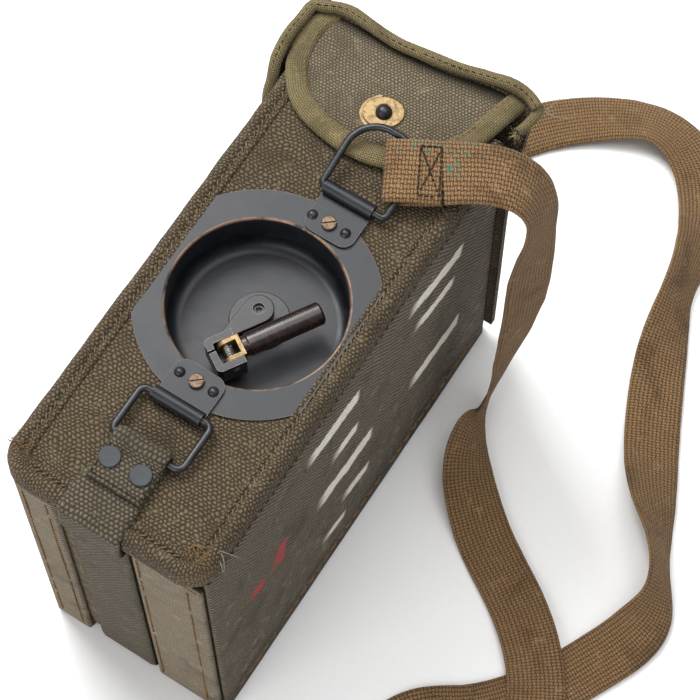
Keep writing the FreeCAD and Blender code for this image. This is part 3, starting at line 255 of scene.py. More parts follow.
def painted(name, base, worn, rough=0.36, metal_under=0.85, edge=(0.05, 0.35), grit=0.5, extra=None,
            radius=0.0006):
    """Enamelled or blackened metal that has rubbed through at its edges."""
    s = Shader(name)
    place = s.mm("Object")
    fine = s.noise(place, 1.3, 6.0, 0.65).outputs["Fac"]
    broad = s.noise(place, 0.12, 4.0, 0.6, 0.5).outputs["Fac"]
    scratch_at = s.add("ShaderNodeMapping")
    s.link(place, scratch_at.inputs["Vector"])
    scratch_at.inputs["Scale"].default_value = (0.08, 1.4, 0.5)
    scratch_at.inputs["Rotation"].default_value = (0.2, 0.1, 0.6)
    scratch = s.noise(scratch_at.outputs[0], 1.0, 8.0, 0.75).outputs["Fac"]
    rub = s.plus(s.edges(radius), s.mul(s.minus(fine, 0.55), grit))
    mask = s.step(rub, edge[0], edge[1])
    if extra is not None:
        mask = extra(s, place, mask, fine)
    lighter = tuple(min(1.0, c * 1.7 + 0.004) for c in base)
    colour = s.mix(s.step(broad, 0.35, 0.7), base, lighter)
    colour = s.mix(s.mul(s.step(scratch, 0.62, 0.72), 0.5), colour, lighter)
    colour = s.mix(mask, colour, worn)
    roughness = s.math("ADD", rough - 0.08, s.mul(broad, 0.22), clamp=True)
    metal = s.math("MULTIPLY", mask, metal_under, clamp=True)
    normal = s.bump(s.plus(fine, s.mul(scratch, 0.6)), 0.06 * MM, 0.7)
    return s.set(color=colour, rough=roughness, metal=metal, normal=normal, spec=0.4)


def metal(name, base, dirt, rough=0.32, tarnish=0.6, scale=0.6):
    """Bare metal with tarnish in patches and fine brushing."""
    s = Shader(name)
    place = s.mm("Object")
    fine = s.noise(place, 2.2, 6.0, 0.7).outputs["Fac"]
    broad = s.noise(place, scale, 5.0, 0.65, 0.8).outputs["Fac"]
    colour = s.mix(s.mul(s.step(broad, 0.42, 0.68), tarnish), base, dirt)
    edge = s.edges(0.0005)
    colour = s.mix(s.step(edge, 0.05, 0.4), colour, tuple(min(1.0, c * 1.25) for c in base))
    roughness = s.math("ADD", rough - 0.1, s.mul(broad, 0.35), clamp=True)
    normal = s.bump(s.plus(fine, s.mul(broad, 0.5)), 0.05 * MM, 0.6)
    return s.set(color=colour, rough=roughness, metal=0.92, normal=normal)


def plastic(name, base, streak, rough=0.3, amount=0.7, stretch=(0.05, 0.6, 0.6)):
    """Moulded plastic, polished by hands, with fine scuffs."""
    s = Shader(name)
    place = s.mm("Object")
    at = s.add("ShaderNodeMapping")
    s.link(place, at.inputs["Vector"])
    at.inputs["Scale"].default_value = stretch
    swirl = s.noise(at.outputs[0], 1.0, 5.0, 0.65, 1.2).outputs["Fac"]
    fine = s.noise(place, 3.0, 6.0, 0.7).outputs["Fac"]
    colour = s.mix(s.mul(s.step(swirl, 0.45, 0.7), amount), base, streak)
    colour = s.mix(s.mul(s.step(s.edges(0.0006), 0.05, 0.5), 0.5), colour, streak)
    roughness = s.math("ADD", rough - 0.06, s.mul(fine, 0.2), clamp=True)
    return s.set(color=colour, rough=roughness, normal=s.bump(fine, 0.03 * MM, 0.5), spec=0.5)


# Meshes
def build(name, verts, faces, uvs, material, body, smooth=True):
    """A mesh object from points in mm; uvs are per point, in mm."""
    mesh = bpy.data.meshes.new(name)
    mesh.from_pydata([tuple(c * MM for c in v) for v in verts], [], faces)
    if uvs is not None:
        layer = mesh.uv_layers.new(name="UVMap")
        for loop in mesh.loops:
            u, v = uvs[loop.vertex_index]
            layer.data[loop.index].uv = (u * MM, v * MM)
    mesh.validate()
    for polygon in mesh.polygons:
        polygon.use_smooth = smooth
    obj = bpy.data.objects.new(name, mesh)
    bpy.context.scene.collection.objects.link(obj)
    obj.data.materials.append(material)
    if body is not None:
        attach(obj, body)
    return obj


def grid(faces, start, rows, cols, flip=False):
    """Quads over (rows + 1) by (cols + 1) points; flip turns them over."""
    for i in range(rows):
        for j in range(cols):
            a = start + i * (cols + 1) + j
            b = a + cols + 1
            faces.append([a + 1, b + 1, b, a] if flip else [a, b, b + 1, a + 1])


def rumple(p, size, amount, seed=0.0):
    return noise.noise(Vector((p[0] / size + seed, p[1] / size, p[2] / size))) * amount


def slab(name, low, high, radius, material, body, cell=4.0, puff=0.0, rough=0.25):
    """A canvas-covered slab: a box with rolled edges, a slight crown and uneven surface."""
    low, high = Vector(low), Vector(high)
    size = high - low
    inner_low = low + Vector((radius,) * 3)
    inner_high = high - Vector((radius,) * 3)
    for axis in range(3):
        if inner_low[axis] > inner_high[axis]:
            inner_low[axis] = inner_high[axis] = (low[axis] + high[axis]) / 2
    verts, faces, uvs = [], [], []
    for axis in range(3):
        a, b = [(1, 2), (2, 0), (0, 1)][axis]
        for side in (0, 1):
            na = max(2, int(size[a] / cell))
            nb = max(2, int(size[b] / cell))
            fa = edge_steps(size[a], na, radius)
            fb = edge_steps(size[b], nb, radius)
            start = len(verts)
            for i in fa:
                for j in fb:
                    p = Vector((0, 0, 0))
                    p[axis] = high[axis] if side else low[axis]
                    p[a] = low[a] + i
                    p[b] = low[b] + j
                    core = Vector([min(max(p[k], inner_low[k]), inner_high[k]) for k in range(3)])
                    out = p - core
                    if out.length > 1e-6:
                        reach = min(radius, size[axis] / 2)
                        out.normalize()
                        p = core + out * reach
                    rim = max(0.0, min(i, size[a] - i, j, size[b] - j))
                    swell = puff * min(1.0, rim / 25.0) ** 0.6
                    swell = swell + rumple(p, 22.0, rough) + rumple(p, 6.0, rough * 0.35)
                    p[axis] += swell * (1 if side else -1) * min(1.0, rim / 3.0)
                    verts.append(tuple(p))
                    uvs.append((p[a], p[b]) if axis != 1 else (p[b], p[a]))
            grid(faces, start, len(fa) - 1, len(fb) - 1, flip=not side)
    obj = build(name, verts, faces, uvs, material, body)
    weld(obj)
    return obj


def edge_steps(length, count, radius):
    """Places along a side, closer together over its rolled edges."""
    steps = [0.0, radius * 0.3, radius * 0.65, radius]
    middle = length - 2 * radius
    steps += [radius + middle * (k + 1) / count for k in range(count - 1)]
    steps += [length - radius, length - radius * 0.65, length - radius * 0.3, length]
    return sorted(set(round(s, 4) for s in steps if 0 <= s <= length))


def weld(obj, distance=0.00003):
    import bmesh
    bm = bmesh.new()
    bm.from_mesh(obj.data)
    bmesh.ops.remove_doubles(bm, verts=bm.verts, dist=distance)
    bmesh.ops.recalc_face_normals(bm, faces=bm.faces)
    bm.to_mesh(obj.data)
    bm.free()


def circle(centre, up, side, radius, sides, flat=1.0):
    """A ring of points round a centre, flattened along side's axis by flat."""
    turns = [2 * math.pi * i / sides for i in range(sides)]
    return [tuple(centre + up * math.cos(a) * radius + side * math.sin(a) * radius * flat) for a in turns]


def skin(faces, start, rings, size, closed=False):
    """Quads between rings of points, with a cap on both ends unless the rings close on themselves."""
    for k in range(rings if closed else rings - 1):
        a, b = start + k * size, start + (k + 1) % rings * size
        for i in range(size):
            j = (i + 1) % size
            faces.append([a + i, a + j, b + j, b + i])
    if not closed:
        faces.append([start + i for i in range(size)][::-1])
        faces.append([start + (rings - 1) * size + i for i in range(size)])


def strip(name, stations, material, body, across=10, curl=0.0, rough=0.0, edge=0.5, seed=0.0, u_shift=0.0):
    """A woven strip with rounded selvedges; a station is (centre, width direction, width, thickness)."""
    stations = [(Vector(c), Vector(w), wide, thick) for c, w, wide, thick in stations]
    count = len(stations)
    verts, faces, uvs = [], [], []
    run = 0.0
    ring_size = 2 * (across + 1)
    for k, (centre, side, wide, thick) in enumerate(stations):
        before = stations[max(0, k - 1)][0]
        after = stations[min(count - 1, k + 1)][0]
        ahead = (after - before).normalized()
        side = (side - ahead * side.dot(ahead)).normalized()
        up = ahead.cross(side)
        if k:
            run += (centre - stations[k - 1][0]).length
        for top in (1, -1):
            for i in range(across + 1):
                t = i / across * top + (0 if top > 0 else 1)
                s = (t - 0.5) * wide
                rim = min(t, 1 - t) * wide
                half = thick / 2 * math.sqrt(min(1.0, 0.12 + rim / edge)) if edge > 0 else thick / 2
                bow = curl * (1 - (2 * t - 1) ** 2)
                p = centre + side * s + up * (half * top + bow)
                p += up * rumple(p, 9.0, rough, seed)
                verts.append(tuple(p))
                uvs.append((s + u_shift, run))
    skin(faces, 0, count, ring_size)
    obj = build(name, verts, faces, uvs, material, body)
    weld(obj, 0.000001)
    return obj


def tube(name, path, radius, material, body, sides=12, flatten=None, rough=0.0, closed=False, seed=0.0):
    """A round or flattened roll along a path of points; radius may be one number or one per point."""
    path = [Vector(p) for p in path]
    count = len(path)
    verts, faces, uvs = [], [], []
    up = None
    run = 0.0
    for k in range(count):
        if closed:
            ahead = (path[(k + 1) % count] - path[k - 1]).normalized()
        else:
            ahead = (path[min(k + 1, count - 1)] - path[max(k - 1, 0)]).normalized()
        if up is None:
            up = ahead.orthogonal().normalized()
        up = (up - ahead * up.dot(ahead)).normalized()
        side = ahead.cross(up)
        r = radius[k] if isinstance(radius, (list, tuple)) else radius
        if k:
            run += (path[k] - path[k - 1]).length
        for i in range(sides):
            a = 2 * math.pi * i / sides
            offset = up * math.cos(a) * r + side * math.sin(a) * r
            if flatten is not None:
                axis, share = flatten
                offset[axis] *= share
            p = path[k] + offset
            p += offset.normalized() * rumple(p, 7.0, rough, seed)
            verts.append(tuple(p))
            uvs.append((2 * math.pi * r * i / sides, run))
    skin(faces, 0, count, sides, closed)
    return build(name, verts, faces, uvs, material, body)


def walk(path, pitch, start=0.0):
    """(point, direction) every pitch along a path."""
    path = [Vector(p) for p in path]
    found = []
    travelled, goal = 0.0, start
    for a, b in zip(path, path[1:]):
        length = (b - a).length
        if length < 1e-9:
            continue
        while goal <= travelled + length:
            found.append((a.lerp(b, (goal - travelled) / length), (b - a).normalized()))
            goal += pitch
        travelled += length
    return found


def stitches(name, paths, normal, body, material, pitch=3.4, length=2.5, radius=0.33, lift=0.12, skip=0.04,
             slant=0.0, bow=1.5):
    """Rows of sewing: each stitch is a small bowed thread that dips at its ends, turned by slant degrees."""
    normal = Vector(normal)
    verts, faces = [], []
    sides, parts = 6, 5
    for path in paths:
        for point, ahead in walk(path, pitch, pitch / 2):
            if rng.random() < skip:
                continue
            ahead = ahead.copy()
            ahead.rotate(Matrix.Rotation(math.radians(slant), 3, normal))
            side = ahead.cross(normal).normalized()
            swing = side * rng.uniform(-0.18, 0.18)
            reach = length * rng.uniform(0.88, 1.08)
            start = len(verts)
            for k in range(parts):
                t = k / (parts - 1) * 2 - 1
                rise = lift + radius * (0.9 - bow * t * t)
                centre = point + ahead * (t * reach / 2) + swing * t + normal * rise
                verts += circle(centre, side, normal, radius * (1.0 - 0.35 * t * t), sides, 0.8)
            skin(faces, start, parts, sides)
    return build(name, verts, faces, None, material, body)


def threads(name, paths, radius, material, body):
    """Loose threads and fibres, each along its own path, thinner towards its end."""
    verts, faces = [], []
    sides = 5
    for path in paths:
        start = len(verts)
        up = Vector((0.3, 0.5, 0.81))
        for k, p in enumerate(path):
            ahead = (path[min(k + 1, len(path) - 1)] - path[max(k - 1, 0)]).normalized()
            up = (up - ahead * up.dot(ahead)).normalized()
            side = ahead.cross(up)
            verts += circle(p, up, side, radius * (1.0 - 0.55 * k / (len(path) - 1)), sides)
        skin(faces, start, len(path), sides)
    return build(name, verts, faces, None, material, body)


def frayed(name, spots, count, reach, radius, material, body, seed):
    """A tuft of torn fibres: spots are (centre, half spread, direction), each fibre curling its own way."""
    draw = random.Random(seed)
    paths = []
    for centre, spread, heading in spots:
        for _ in range(count):
            p = Vector([centre[k] + draw.uniform(-1, 1) * spread[k] for k in range(3)])
            ahead = (Vector(heading) + Vector([draw.uniform(-0.8, 0.8) for _ in range(3)])).normalized()
            bend = Vector([draw.uniform(-0.35, 0.35) for _ in range(3)])
            step = reach * draw.uniform(0.5, 1.2) / 6
            path = [p]
            for _ in range(6):
                ahead = (ahead + bend + Vector((0, 0, -0.08))).normalized()
                path.append(path[-1] + ahead * step)
            paths.append(path)
    return threads(name, paths, radius, material, body)


def natural_spline(points, parameters, at):
    """A smooth curve through points, read at the given parameters."""
    points = np.array(points, dtype=float)
    t = np.array(parameters, dtype=float)
    n = len(t)
    h = np.diff(t)
    a = np.zeros((n, n))
    b = np.zeros((n, points.shape[1]))
    a[0, 0] = a[-1, -1] = 1.0
    for i in range(1, n - 1):
        a[i, i - 1], a[i, i], a[i, i + 1] = h[i - 1], 2 * (h[i - 1] + h[i]), h[i]
        b[i] = 6 * ((points[i + 1] - points[i]) / h[i] - (points[i] - points[i - 1]) / h[i - 1])
    m = np.linalg.solve(a, b)
    out = []
    for x in at:
        i = int(min(max(np.searchsorted(t, x) - 1, 0), n - 2))
        l, r = (t[i + 1] - x) / h[i], (x - t[i]) / h[i]
        out.append(l * points[i] + r * points[i + 1]
                   + ((l ** 3 - l) * m[i] + (r ** 3 - r) * m[i + 1]) * h[i] ** 2 / 6)
    return np.array(out)


def sweep(name, path, inward, profile, material, body, rough=0.0, seed=0.0, close_ends=True):
    """A profile of (inward, z) points swept along a flat path; inward has a direction for each path point."""
    verts, faces, uvs = [], [], []
    size = len(profile)
    lengths = [0.0]
    for a, b in zip(profile, profile[1:]):
        lengths.append(lengths[-1] + math.dist(a, b))
    run = 0.0
    for k, (p, n) in enumerate(zip(path, inward)):
        if k:
            run += (Vector(p) - Vector(path[k - 1])).length
        for m, (d, z) in enumerate(profile):
            q = Vector((p[0] + n[0] * d, p[1] + n[1] * d, p[2] + z))
            bend = rumple(q, 11.0, rough, seed) + rumple(q, 3.5, rough * 0.4, seed)
            q += Vector((-n[0] * 0.5, -n[1] * 0.5, 0.8)) * bend
            verts.append(tuple(q))
            uvs.append((lengths[m], run))
    for k in range(len(path) - 1):
        for m in range(size - 1):
            a, b = k * size + m, (k + 1) * size + m
            faces.append([a, a + 1, b + 1, b])
    if close_ends:
        faces.append(list(range(size)))
        faces.append([(len(path) - 1) * size + m for m in range(size)][::-1])
    return build(name, verts, faces, uvs, material, body)


def outline_path(corners, step=3.0):
    """Points and inward normals along a polyline given in order, left of travel being inward."""
    fine = []
    for a, b in zip(corners, corners[1:]):
        a, b = Vector(a), Vector(b)
        n = max(1, int((b - a).length / step))
        fine += [a.lerp(b, i / n) for i in range(n)]
    fine.append(Vector(corners[-1]))
    normals = []
    for i in range(len(fine)):
        t = (fine[min(i + 1, len(fine) - 1)] - fine[max(i - 1, 0)]).normalized()
        normals.append(Vector((-t.y, t.x, 0)))
    return fine, normals


def round_corner(cx, cy, r, a0, a1, z, steps=8):
    return [(cx + r * math.cos(math.radians(a0 + (a1 - a0) * i / steps)),
             cy + r * math.sin(math.radians(a0 + (a1 - a0) * i / steps)), z) for i in range(steps + 1)]


def smooth_line(points, step=2.0):
    """A natural spline through points, resampled every step."""
    points = [tuple(map(float, p)) for p in points]
    t = [0.0]
    for a, b in zip(points, points[1:]):
        t.append(t[-1] + math.dist(a, b))
    count = max(2, int(t[-1] / step))
    return [Vector(p) for p in natural_spline(points, t, [t[-1] * i / count for i in range(count + 1)])]


# The looks of each stuff
def face_extra(s, place, colour, roughness, blot, hair, height):
    """Rubbed, orange-brown board at the near corners."""
    x, y, z = s.split(place)
    corner = s.plus(s.math("ABSOLUTE", x), s.mul(y, -1.0))
    rub = s.mul(s.step(corner, 150.0, 166.0), s.step(hair, 0.3, 0.6))
    colour = s.mix(s.mul(rub, 0.5), colour, (0.30, 0.16, 0.06))
    return colour, roughness


# Old paint on the right side: (y, z) ends of each dab, then its half width and whether it is red.
DABS = [((70, 142), (29, 153), 4.4, 0), ((64, 122), (33, 130), 3.4, 0), ((72, 68), (31, 74), 4.4, 0),
        ((-8, 148), (-46, 151), 4.6, 0), ((-9, 116), (-29, 119), 3.6, 0), ((2, 85), (-40, 90), 5.0, 0),
        ((-1, 52), (-22, 57), 4.0, 0), ((-19, 34), (-38, 39), 3.0, 0), ((-63, 99), (-73, 101), 9.0, 1),
        ((-79, 95), (-91, 99), 3.6, 1)]


def side_extra(s, place, colour, roughness, blot, hair, height):
    """The broad sides: rubbed grey patches, painted shade in a band along the lower edge where the real side
    rounds under, and dabs of old paint on the right one.
    """
    x, y, z = s.split(place)
    patch = s.mul(s.step(z, 110.0, 40.0), s.step(blot, 0.46, 0.66))
    colour = s.mix(s.mul(patch, 0.35), colour, (0.15, 0.125, 0.09))
    # painted shade along the lower edge, standing in for the rounded-under edge that is not modelled
    painted_underside_shade = s.step(s.plus(z, s.mul(blot, 6.0)), 27.0, 12.0)
    colour = s.mix(s.mul(painted_underside_shade, 0.6), colour, (0.022, 0.017, 0.011))
    glint = s.mul(s.mul(patch, s.step(height, 0.4, 0.9)), 0.3)
    roughness = s.math("SUBTRACT", roughness, glint, clamp=True)
    right = s.math("GREATER_THAN", x, 40.0)
    ragged = s.plus(s.mul(hair, 1.6), s.mul(height, 0.7))
    for (y0, z0), (y1, z1), half, red in DABS:
        length = math.hypot(y1 - y0, z1 - z0)
        uy, uz = (y1 - y0) / length, (z1 - z0) / length
        dy, dz = s.minus(y, float(y0)), s.minus(z, float(z0))
        along = s.plus(s.mul(dy, uy), s.mul(dz, uz))
        across = s.math("ABSOLUTE", s.minus(s.mul(dz, uy), s.mul(dy, uz)))
        mark = s.mul(s.step(s.plus(across, s.mul(blot, half * 1.6)), half * 1.8 + 0.8, half * 1.8 - 0.8),
                     s.step(along, -1.0, 2.0))
        mark = s.mul(mark, s.step(along, length + 1.0, length - 8.0))
        mark = s.mul(s.mul(mark, right), s.step(ragged, 0.5, 0.9))
        colour = s.mix(s.mul(mark, 0.95), colour, (0.42, 0.03, 0.03) if red else (0.80, 0.76, 0.66))
    return colour, roughness


def tongue_painted_shade(s, place, colour, roughness, blot, hair, height):
    """Painted shade where the tongue goes down behind the hood's rim: the rim's shadow darkened into the
    cloth's colour.
    """
    x, y, z = s.split(place)
    edge = s.plus(108.5, s.mul(s.math("MAXIMUM", x, 0.0), 0.12))
    # painted shadow of the hood's rim, darkening the tongue's colour towards near black
    painted_rim_shadow = s.step(s.minus(s.plus(y, s.mul(blot, 2.0)), edge), -3.0, 4.5)
    return s.mix(s.mul(painted_rim_shadow, 0.93), colour, (0.012, 0.010, 0.006)), roughness


def strap_extra(s, place, colour, roughness, blot, hair, height):
    """A few dried drops of teal paint near the sewn end of the strap."""
    x, y, z = s.split(place)
    near = s.mul(s.step(x, 42.0, 36.0), s.step(y, 68.0, 72.0))
    drops = s.noise(place, 0.34, 3.0, 0.6).outputs["Fac"]
    spot = s.mul(s.mul(near, s.step(z, 188.0, 190.0)), s.step(drops, 0.57, 0.62))
    colour = s.mix(s.mul(spot, 0.85), colour, (0.05, 0.17, 0.13))
    return colour, roughness


def cup_extra(s, place, mask, fine):
    """Bright copper-coloured wear on the cup's rim and on the flange's outer edge."""
    x, y, z = s.split(place)
    dx = s.minus(x, CUP[0])
    dy = s.minus(y, CUP[1])
    r = s.math("SQRT", s.plus(s.mul(dx, dx), s.mul(dy, dy)))
    rim = s.mul(s.step(s.math("ABSOLUTE", s.minus(r, 36.0)), 0.75, 0.1), s.step(z, 184.9, 185.6))
    along = s.noise(place, 0.08, 3.0, 0.6).outputs["Fac"]
    rim = s.mul(rim, s.step(s.plus(along, s.mul(fine, 0.3)), 0.5, 0.72))
    return s.math("MAXIMUM", s.mul(mask, 0.55), rim)


M_FACE = woven("canvas_face", (2.05, 1.45), (0.034, 0.025, 0.014), (0.128, 0.094, 0.054),
               (0.29, 0.222, 0.135),
               relief=0.62, worn=(0.28, 0.16, 0.07), wear=(0.25, 0.8), gap_shade=0.32, wobble=0.8,
               extra=face_extra)
M_TONGUE = woven("tongue_canvas", (1.5, 1.2), (0.06, 0.048, 0.03), (0.205, 0.162, 0.103), (0.36, 0.30, 0.205),
                 relief=0.5, worn=(0.26, 0.17, 0.09), wear=(0.25, 0.8), gap_shade=0.3, wobble=0.7,
                 extra=tongue_painted_shade)
M_SIDE = woven("canvas_side", (2.7, 3.2), (0.014, 0.010, 0.006), (0.118, 0.091, 0.058), (0.34, 0.275, 0.185),
               relief=0.5, style="twill", worn=(0.26, 0.15, 0.07), wear=(0.2, 0.75), rough=0.82, wobble=0.22,
               gap_shade=0.7, extra=side_extra)
M_END = woven("ribbed_canvas", (1.5, 2.3), (0.040, 0.031, 0.020), (0.235, 0.188, 0.128), (0.48, 0.41, 0.30),
              relief=0.7, style="ribs", worn=(0.34, 0.22, 0.11), wear=(0.25, 0.8))
M_TAPE = woven("binding_tape", (0.95, 0.85), (0.055, 0.044, 0.019), (0.180, 0.142, 0.066), (0.37, 0.30, 0.16),
               relief=0.3, style="plain", worn=(0.38, 0.30, 0.17), wear=(0.3, 0.85), wobble=0.3)
M_WEB = woven("web_tape", (2.0, 1.6), (0.034, 0.028, 0.018), (0.130, 0.106, 0.071), (0.26, 0.22, 0.155),
              relief=0.6, style="pebble", wobble=0.45, gap_shade=0.35)
M_STRAP = woven("strap_webbing", (1.9, 1.35), (0.052, 0.026, 0.010), (0.205, 0.118, 0.053),
                (0.42, 0.275, 0.14),
                relief=0.5, style="plain", wobble=0.22, grime=0.5, extra=strap_extra)
M_THREAD = woven("sewing_thread", (0.6, 0.6), (0.18, 0.10, 0.04), (0.40, 0.255, 0.12), (0.58, 0.43, 0.25),
                 relief=0.05, wobble=0.0, gap_shade=0.0)
M_WHIP_THREAD = woven("whip_thread", (0.6, 0.6), (0.11, 0.08, 0.043), (0.26, 0.195, 0.115),
                      (0.42, 0.335, 0.22),
                      relief=0.05, wobble=0.0, gap_shade=0.0)
M_PALE_THREAD = woven("pale_thread", (0.6, 0.6), (0.20, 0.18, 0.14), (0.36, 0.33, 0.27), (0.60, 0.57, 0.48),
                      relief=0.05, wobble=0.0, gap_shade=0.0)
M_DARK_THREAD = woven("dark_thread", (0.6, 0.6), (0.02, 0.014, 0.008), (0.07, 0.045, 0.022),
                      (0.14, 0.09, 0.05),
                      relief=0.05, wobble=0.0, gap_shade=0.0)
M_BOARD = woven("pressed_board", (3.0, 3.0), (0.05, 0.036, 0.02), (0.12, 0.09, 0.052), (0.17, 0.13, 0.08),
                relief=0.1, style="plain", wobble=1.0, gap_shade=0.2)
M_CUP = painted("cup_enamel", (0.0045, 0.0055, 0.0085), (0.30, 0.19, 0.13), rough=0.40, extra=cup_extra)
M_ENAMEL = painted("keeper_enamel", (0.005, 0.006, 0.009), (0.20, 0.17, 0.15), rough=0.42, edge=(0.12, 0.5))
M_RING = painted("ring_black", (0.010, 0.010, 0.012), (0.20, 0.17, 0.15), rough=0.33, edge=(0.35, 0.75),
                 grit=1.2)
M_DARK_STEEL = painted("dark_steel", (0.008, 0.008, 0.010), (0.24, 0.22, 0.20), rough=0.32, edge=(0.1, 0.45))
M_RIVET = painted("rivet_paint", (0.018, 0.023, 0.027), (0.09, 0.09, 0.085), rough=0.55, edge=(0.1, 0.5),
                  metal_under=0.4)
M_SCREW = metal("copper_screw", (0.15, 0.105, 0.070), (0.045, 0.032, 0.022), rough=0.45)
M_BRASS = metal("worn_brass", (0.27, 0.19, 0.095), (0.07, 0.05, 0.028), rough=0.45, scale=0.35)
M_STEEL = metal("bright_steel", (0.50, 0.49, 0.47), (0.16, 0.13, 0.10), rough=0.33)
M_PLATED = metal("plated_sheet", (0.42, 0.42, 0.38), (0.22, 0.20, 0.14), rough=0.4, tarnish=0.4, scale=0.15)
M_ZINC = metal("zinc_can", (0.44, 0.45, 0.46), (0.26, 0.26, 0.25), rough=0.45, tarnish=0.5, scale=0.2)
M_MAGNET = painted("magnet_iron", (0.022, 0.022, 0.025), (0.16, 0.13, 0.11), rough=0.5)
M_WIRE = metal("coil_wire", (0.40, 0.15, 0.05), (0.15, 0.05, 0.02), rough=0.3, tarnish=0.5, scale=0.5)
M_GRIP = plastic("grip_plastic", (0.010, 0.006, 0.005), (0.055, 0.024, 0.015), rough=0.24)
M_BLACK = plastic("black_plastic", (0.008, 0.008, 0.008), (0.03, 0.028, 0.026), rough=0.26, amount=0.5)

dress = {
    "case_shell": M_BOARD, "crank_side_panel": M_FACE, "crank_cup": M_CUP,
    "upper_ring_keeper": M_ENAMEL, "lower_ring_keeper": M_ENAMEL, "rear_ring_keeper": M_ENAMEL,
    "keeper_rivets": M_DARK_STEEL, "keeper_screws": M_SCREW, "web_rivets": M_RIVET,
    "lower_ring": M_RING, "upper_ring": M_RING, "rear_ring": M_RING,
    "fastener_plate": M_BRASS, "fastener_head": M_RING, "fastener_stud": M_DARK_STEEL,
    "crank_shaft": M_STEEL, "crank_arm": M_DARK_STEEL, "hub_washer": M_DARK_STEEL, "hub_screw": M_DARK_STEEL,
    "handle_fork": M_BRASS, "handle_pin": M_STEEL, "handle_spring": M_STEEL, "handle_grip": M_GRIP,
    "drive_gear": M_BRASS, "generator_frame": M_PLATED, "armature": M_STEEL, "generator_magnets": M_MAGNET,
    "chassis_deck": M_PLATED, "battery_tray": M_PLATED, "battery_cells": M_ZINC, "battery_contacts": M_BRASS,
    "ringer_frame": M_PLATED, "ringer_gongs": M_BRASS, "ringer_coils": M_WIRE, "ringer_clapper": M_STEEL,
    "induction_coil": M_WIRE, "capacitor": M_ZINC, "handset_body": M_BLACK, "earpiece_cap": M_BLACK,
    "mouthpiece_cap": M_BLACK, "talk_bar": M_BLACK, "terminal_panel": M_BLACK, "post_cap_1": M_BLACK,
    "post_cap_2": M_BLACK, "binding_posts": M_BRASS, "selector_switch": M_BLACK, "hinge_lip": M_END,
}
for name, material in dress.items():
    obj = nodes[name]
    if not obj.material_slots:
        obj.data.materials.append(material)
    for slot in obj.material_slots:
        slot.material = material


# The case
def make_panel_sheet():
    """The canvas stretched over the crank panel, with the hole for the cup."""
    verts, faces, uvs = [], [], []
    cell = 2.2
    nx = int(2 * 45.0 / cell)
    low_y, high_y = EDGE_Y + 0.8, MOUTH_Y
    ny = int((high_y - low_y) / cell)
    for i in range(nx + 1):
        for j in range(ny + 1):
            x = -PANEL_HALF + 2 * PANEL_HALF * i / nx
            y = low_y + (high_y - low_y) * j / ny
            px, py = x, y
            reach = CORNER
            ex, ey = abs(x) - (PANEL_HALF - reach), (low_y + reach) - y
            if ex > 0 and ey > 0:
                far = max(ex, ey)
                length = math.hypot(ex, ey)
                px = math.copysign(PANEL_HALF - reach + ex * far / length, x)
                py = low_y + reach - ey * far / length
            r = math.hypot(px - CUP[0], py - CUP[1])
            z = DEPTH + 0.2
            calm = min(1.0, max(0.0, (r - 47.0) / 12.0))
            z += calm * (0.25 + rumple((px, py, 0), 30.0, 0.5) + rumple((px, py, 0), 9.0, 0.18))
            verts.append((px, py, z))
            uvs.append((px, py))
    grid(faces, 0, nx, ny)
    faces = [q for q in faces
             if all(math.hypot(verts[k][0] - CUP[0], verts[k][1] - CUP[1]) > CUP_HOLE for k in q)]
    obj = build("panel_canvas", verts, faces, uvs, M_FACE, "case")
    return obj


def make_border():
    r = CORNER
    x, y = HALF_W, EDGE_Y
    corners = [(-x, MOUTH_Y - 0.5, 0), (-x, y + r, 0)]
    corners += round_corner(-x + r, y + r, r, 180, 270, 0)[1:]
    corners += [(x - r, y, 0)] + round_corner(x - r, y + r, r, 270, 360, 0)[1:] + [(x, MOUTH_Y - 0.5, 0)]
    path, inward = outline_path(corners, 2.0)
    top = DEPTH
    profile = [(9.2, top - 0.4), (9.0, top + 0.6), (8.4, top + 1.3), (7.7, top + 1.5), (7.0, top + 1.25),
               (6.5, top + 0.6), (6.0, top + 0.35), (5.5, top + 0.7), (4.9, top + 1.5), (3.8, top + 2.1),
               (2.4, top + 1.95), (1.1, top + 1.15), (0.2, top - 0.2), (-0.35, top - 2.0), (-0.45, top - 4.0),
               (0.15, top - 4.8),
               (-0.1, top - 5.3), (-0.5, top - 6.4), (-0.55, top - 8.8), (-0.3, top - 10.6),
               (0.4, top - 11.8),
               (2.4, top - 12.1), (3.6, top - 12.0)]
    obj = sweep("panel_border_roll", path, inward, profile, M_FACE, "case", rough=0.45, seed=3.0)
    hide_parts("panel_border")
    rows = []
    for side in (-1, 1):
        rows.append([(side * 40.2, MOUTH_Y - 4, DEPTH + 0.95), (side * 40.2, EDGE_Y + 14, DEPTH + 0.95)])
    rows.append([(-32, EDGE_Y + 5.9, DEPTH + 0.95), (-18, EDGE_Y + 5.9, DEPTH + 0.95)])
    rows.append([(13, EDGE_Y + 5.9, DEPTH + 0.95), (32, EDGE_Y + 5.9, DEPTH + 0.95)])
    stitches("border_stitches", rows, (0, 0, 1), "case", M_WHIP_THREAD, pitch=2.9, length=3.0, radius=0.36,
             skip=0.14, slant=34.0)
    for side, label in ((-1, "left"), (1, "right")):
        out = side * (x + 0.35)
        low = [[(out, EDGE_Y + 14, DEPTH - 7.6), (out, MOUTH_Y - 4, DEPTH - 7.6)]]
        stitches("edge_stitches_" + label, low, (side, 0, 0), "case", M_DARK_THREAD, pitch=4.0, length=2.6)


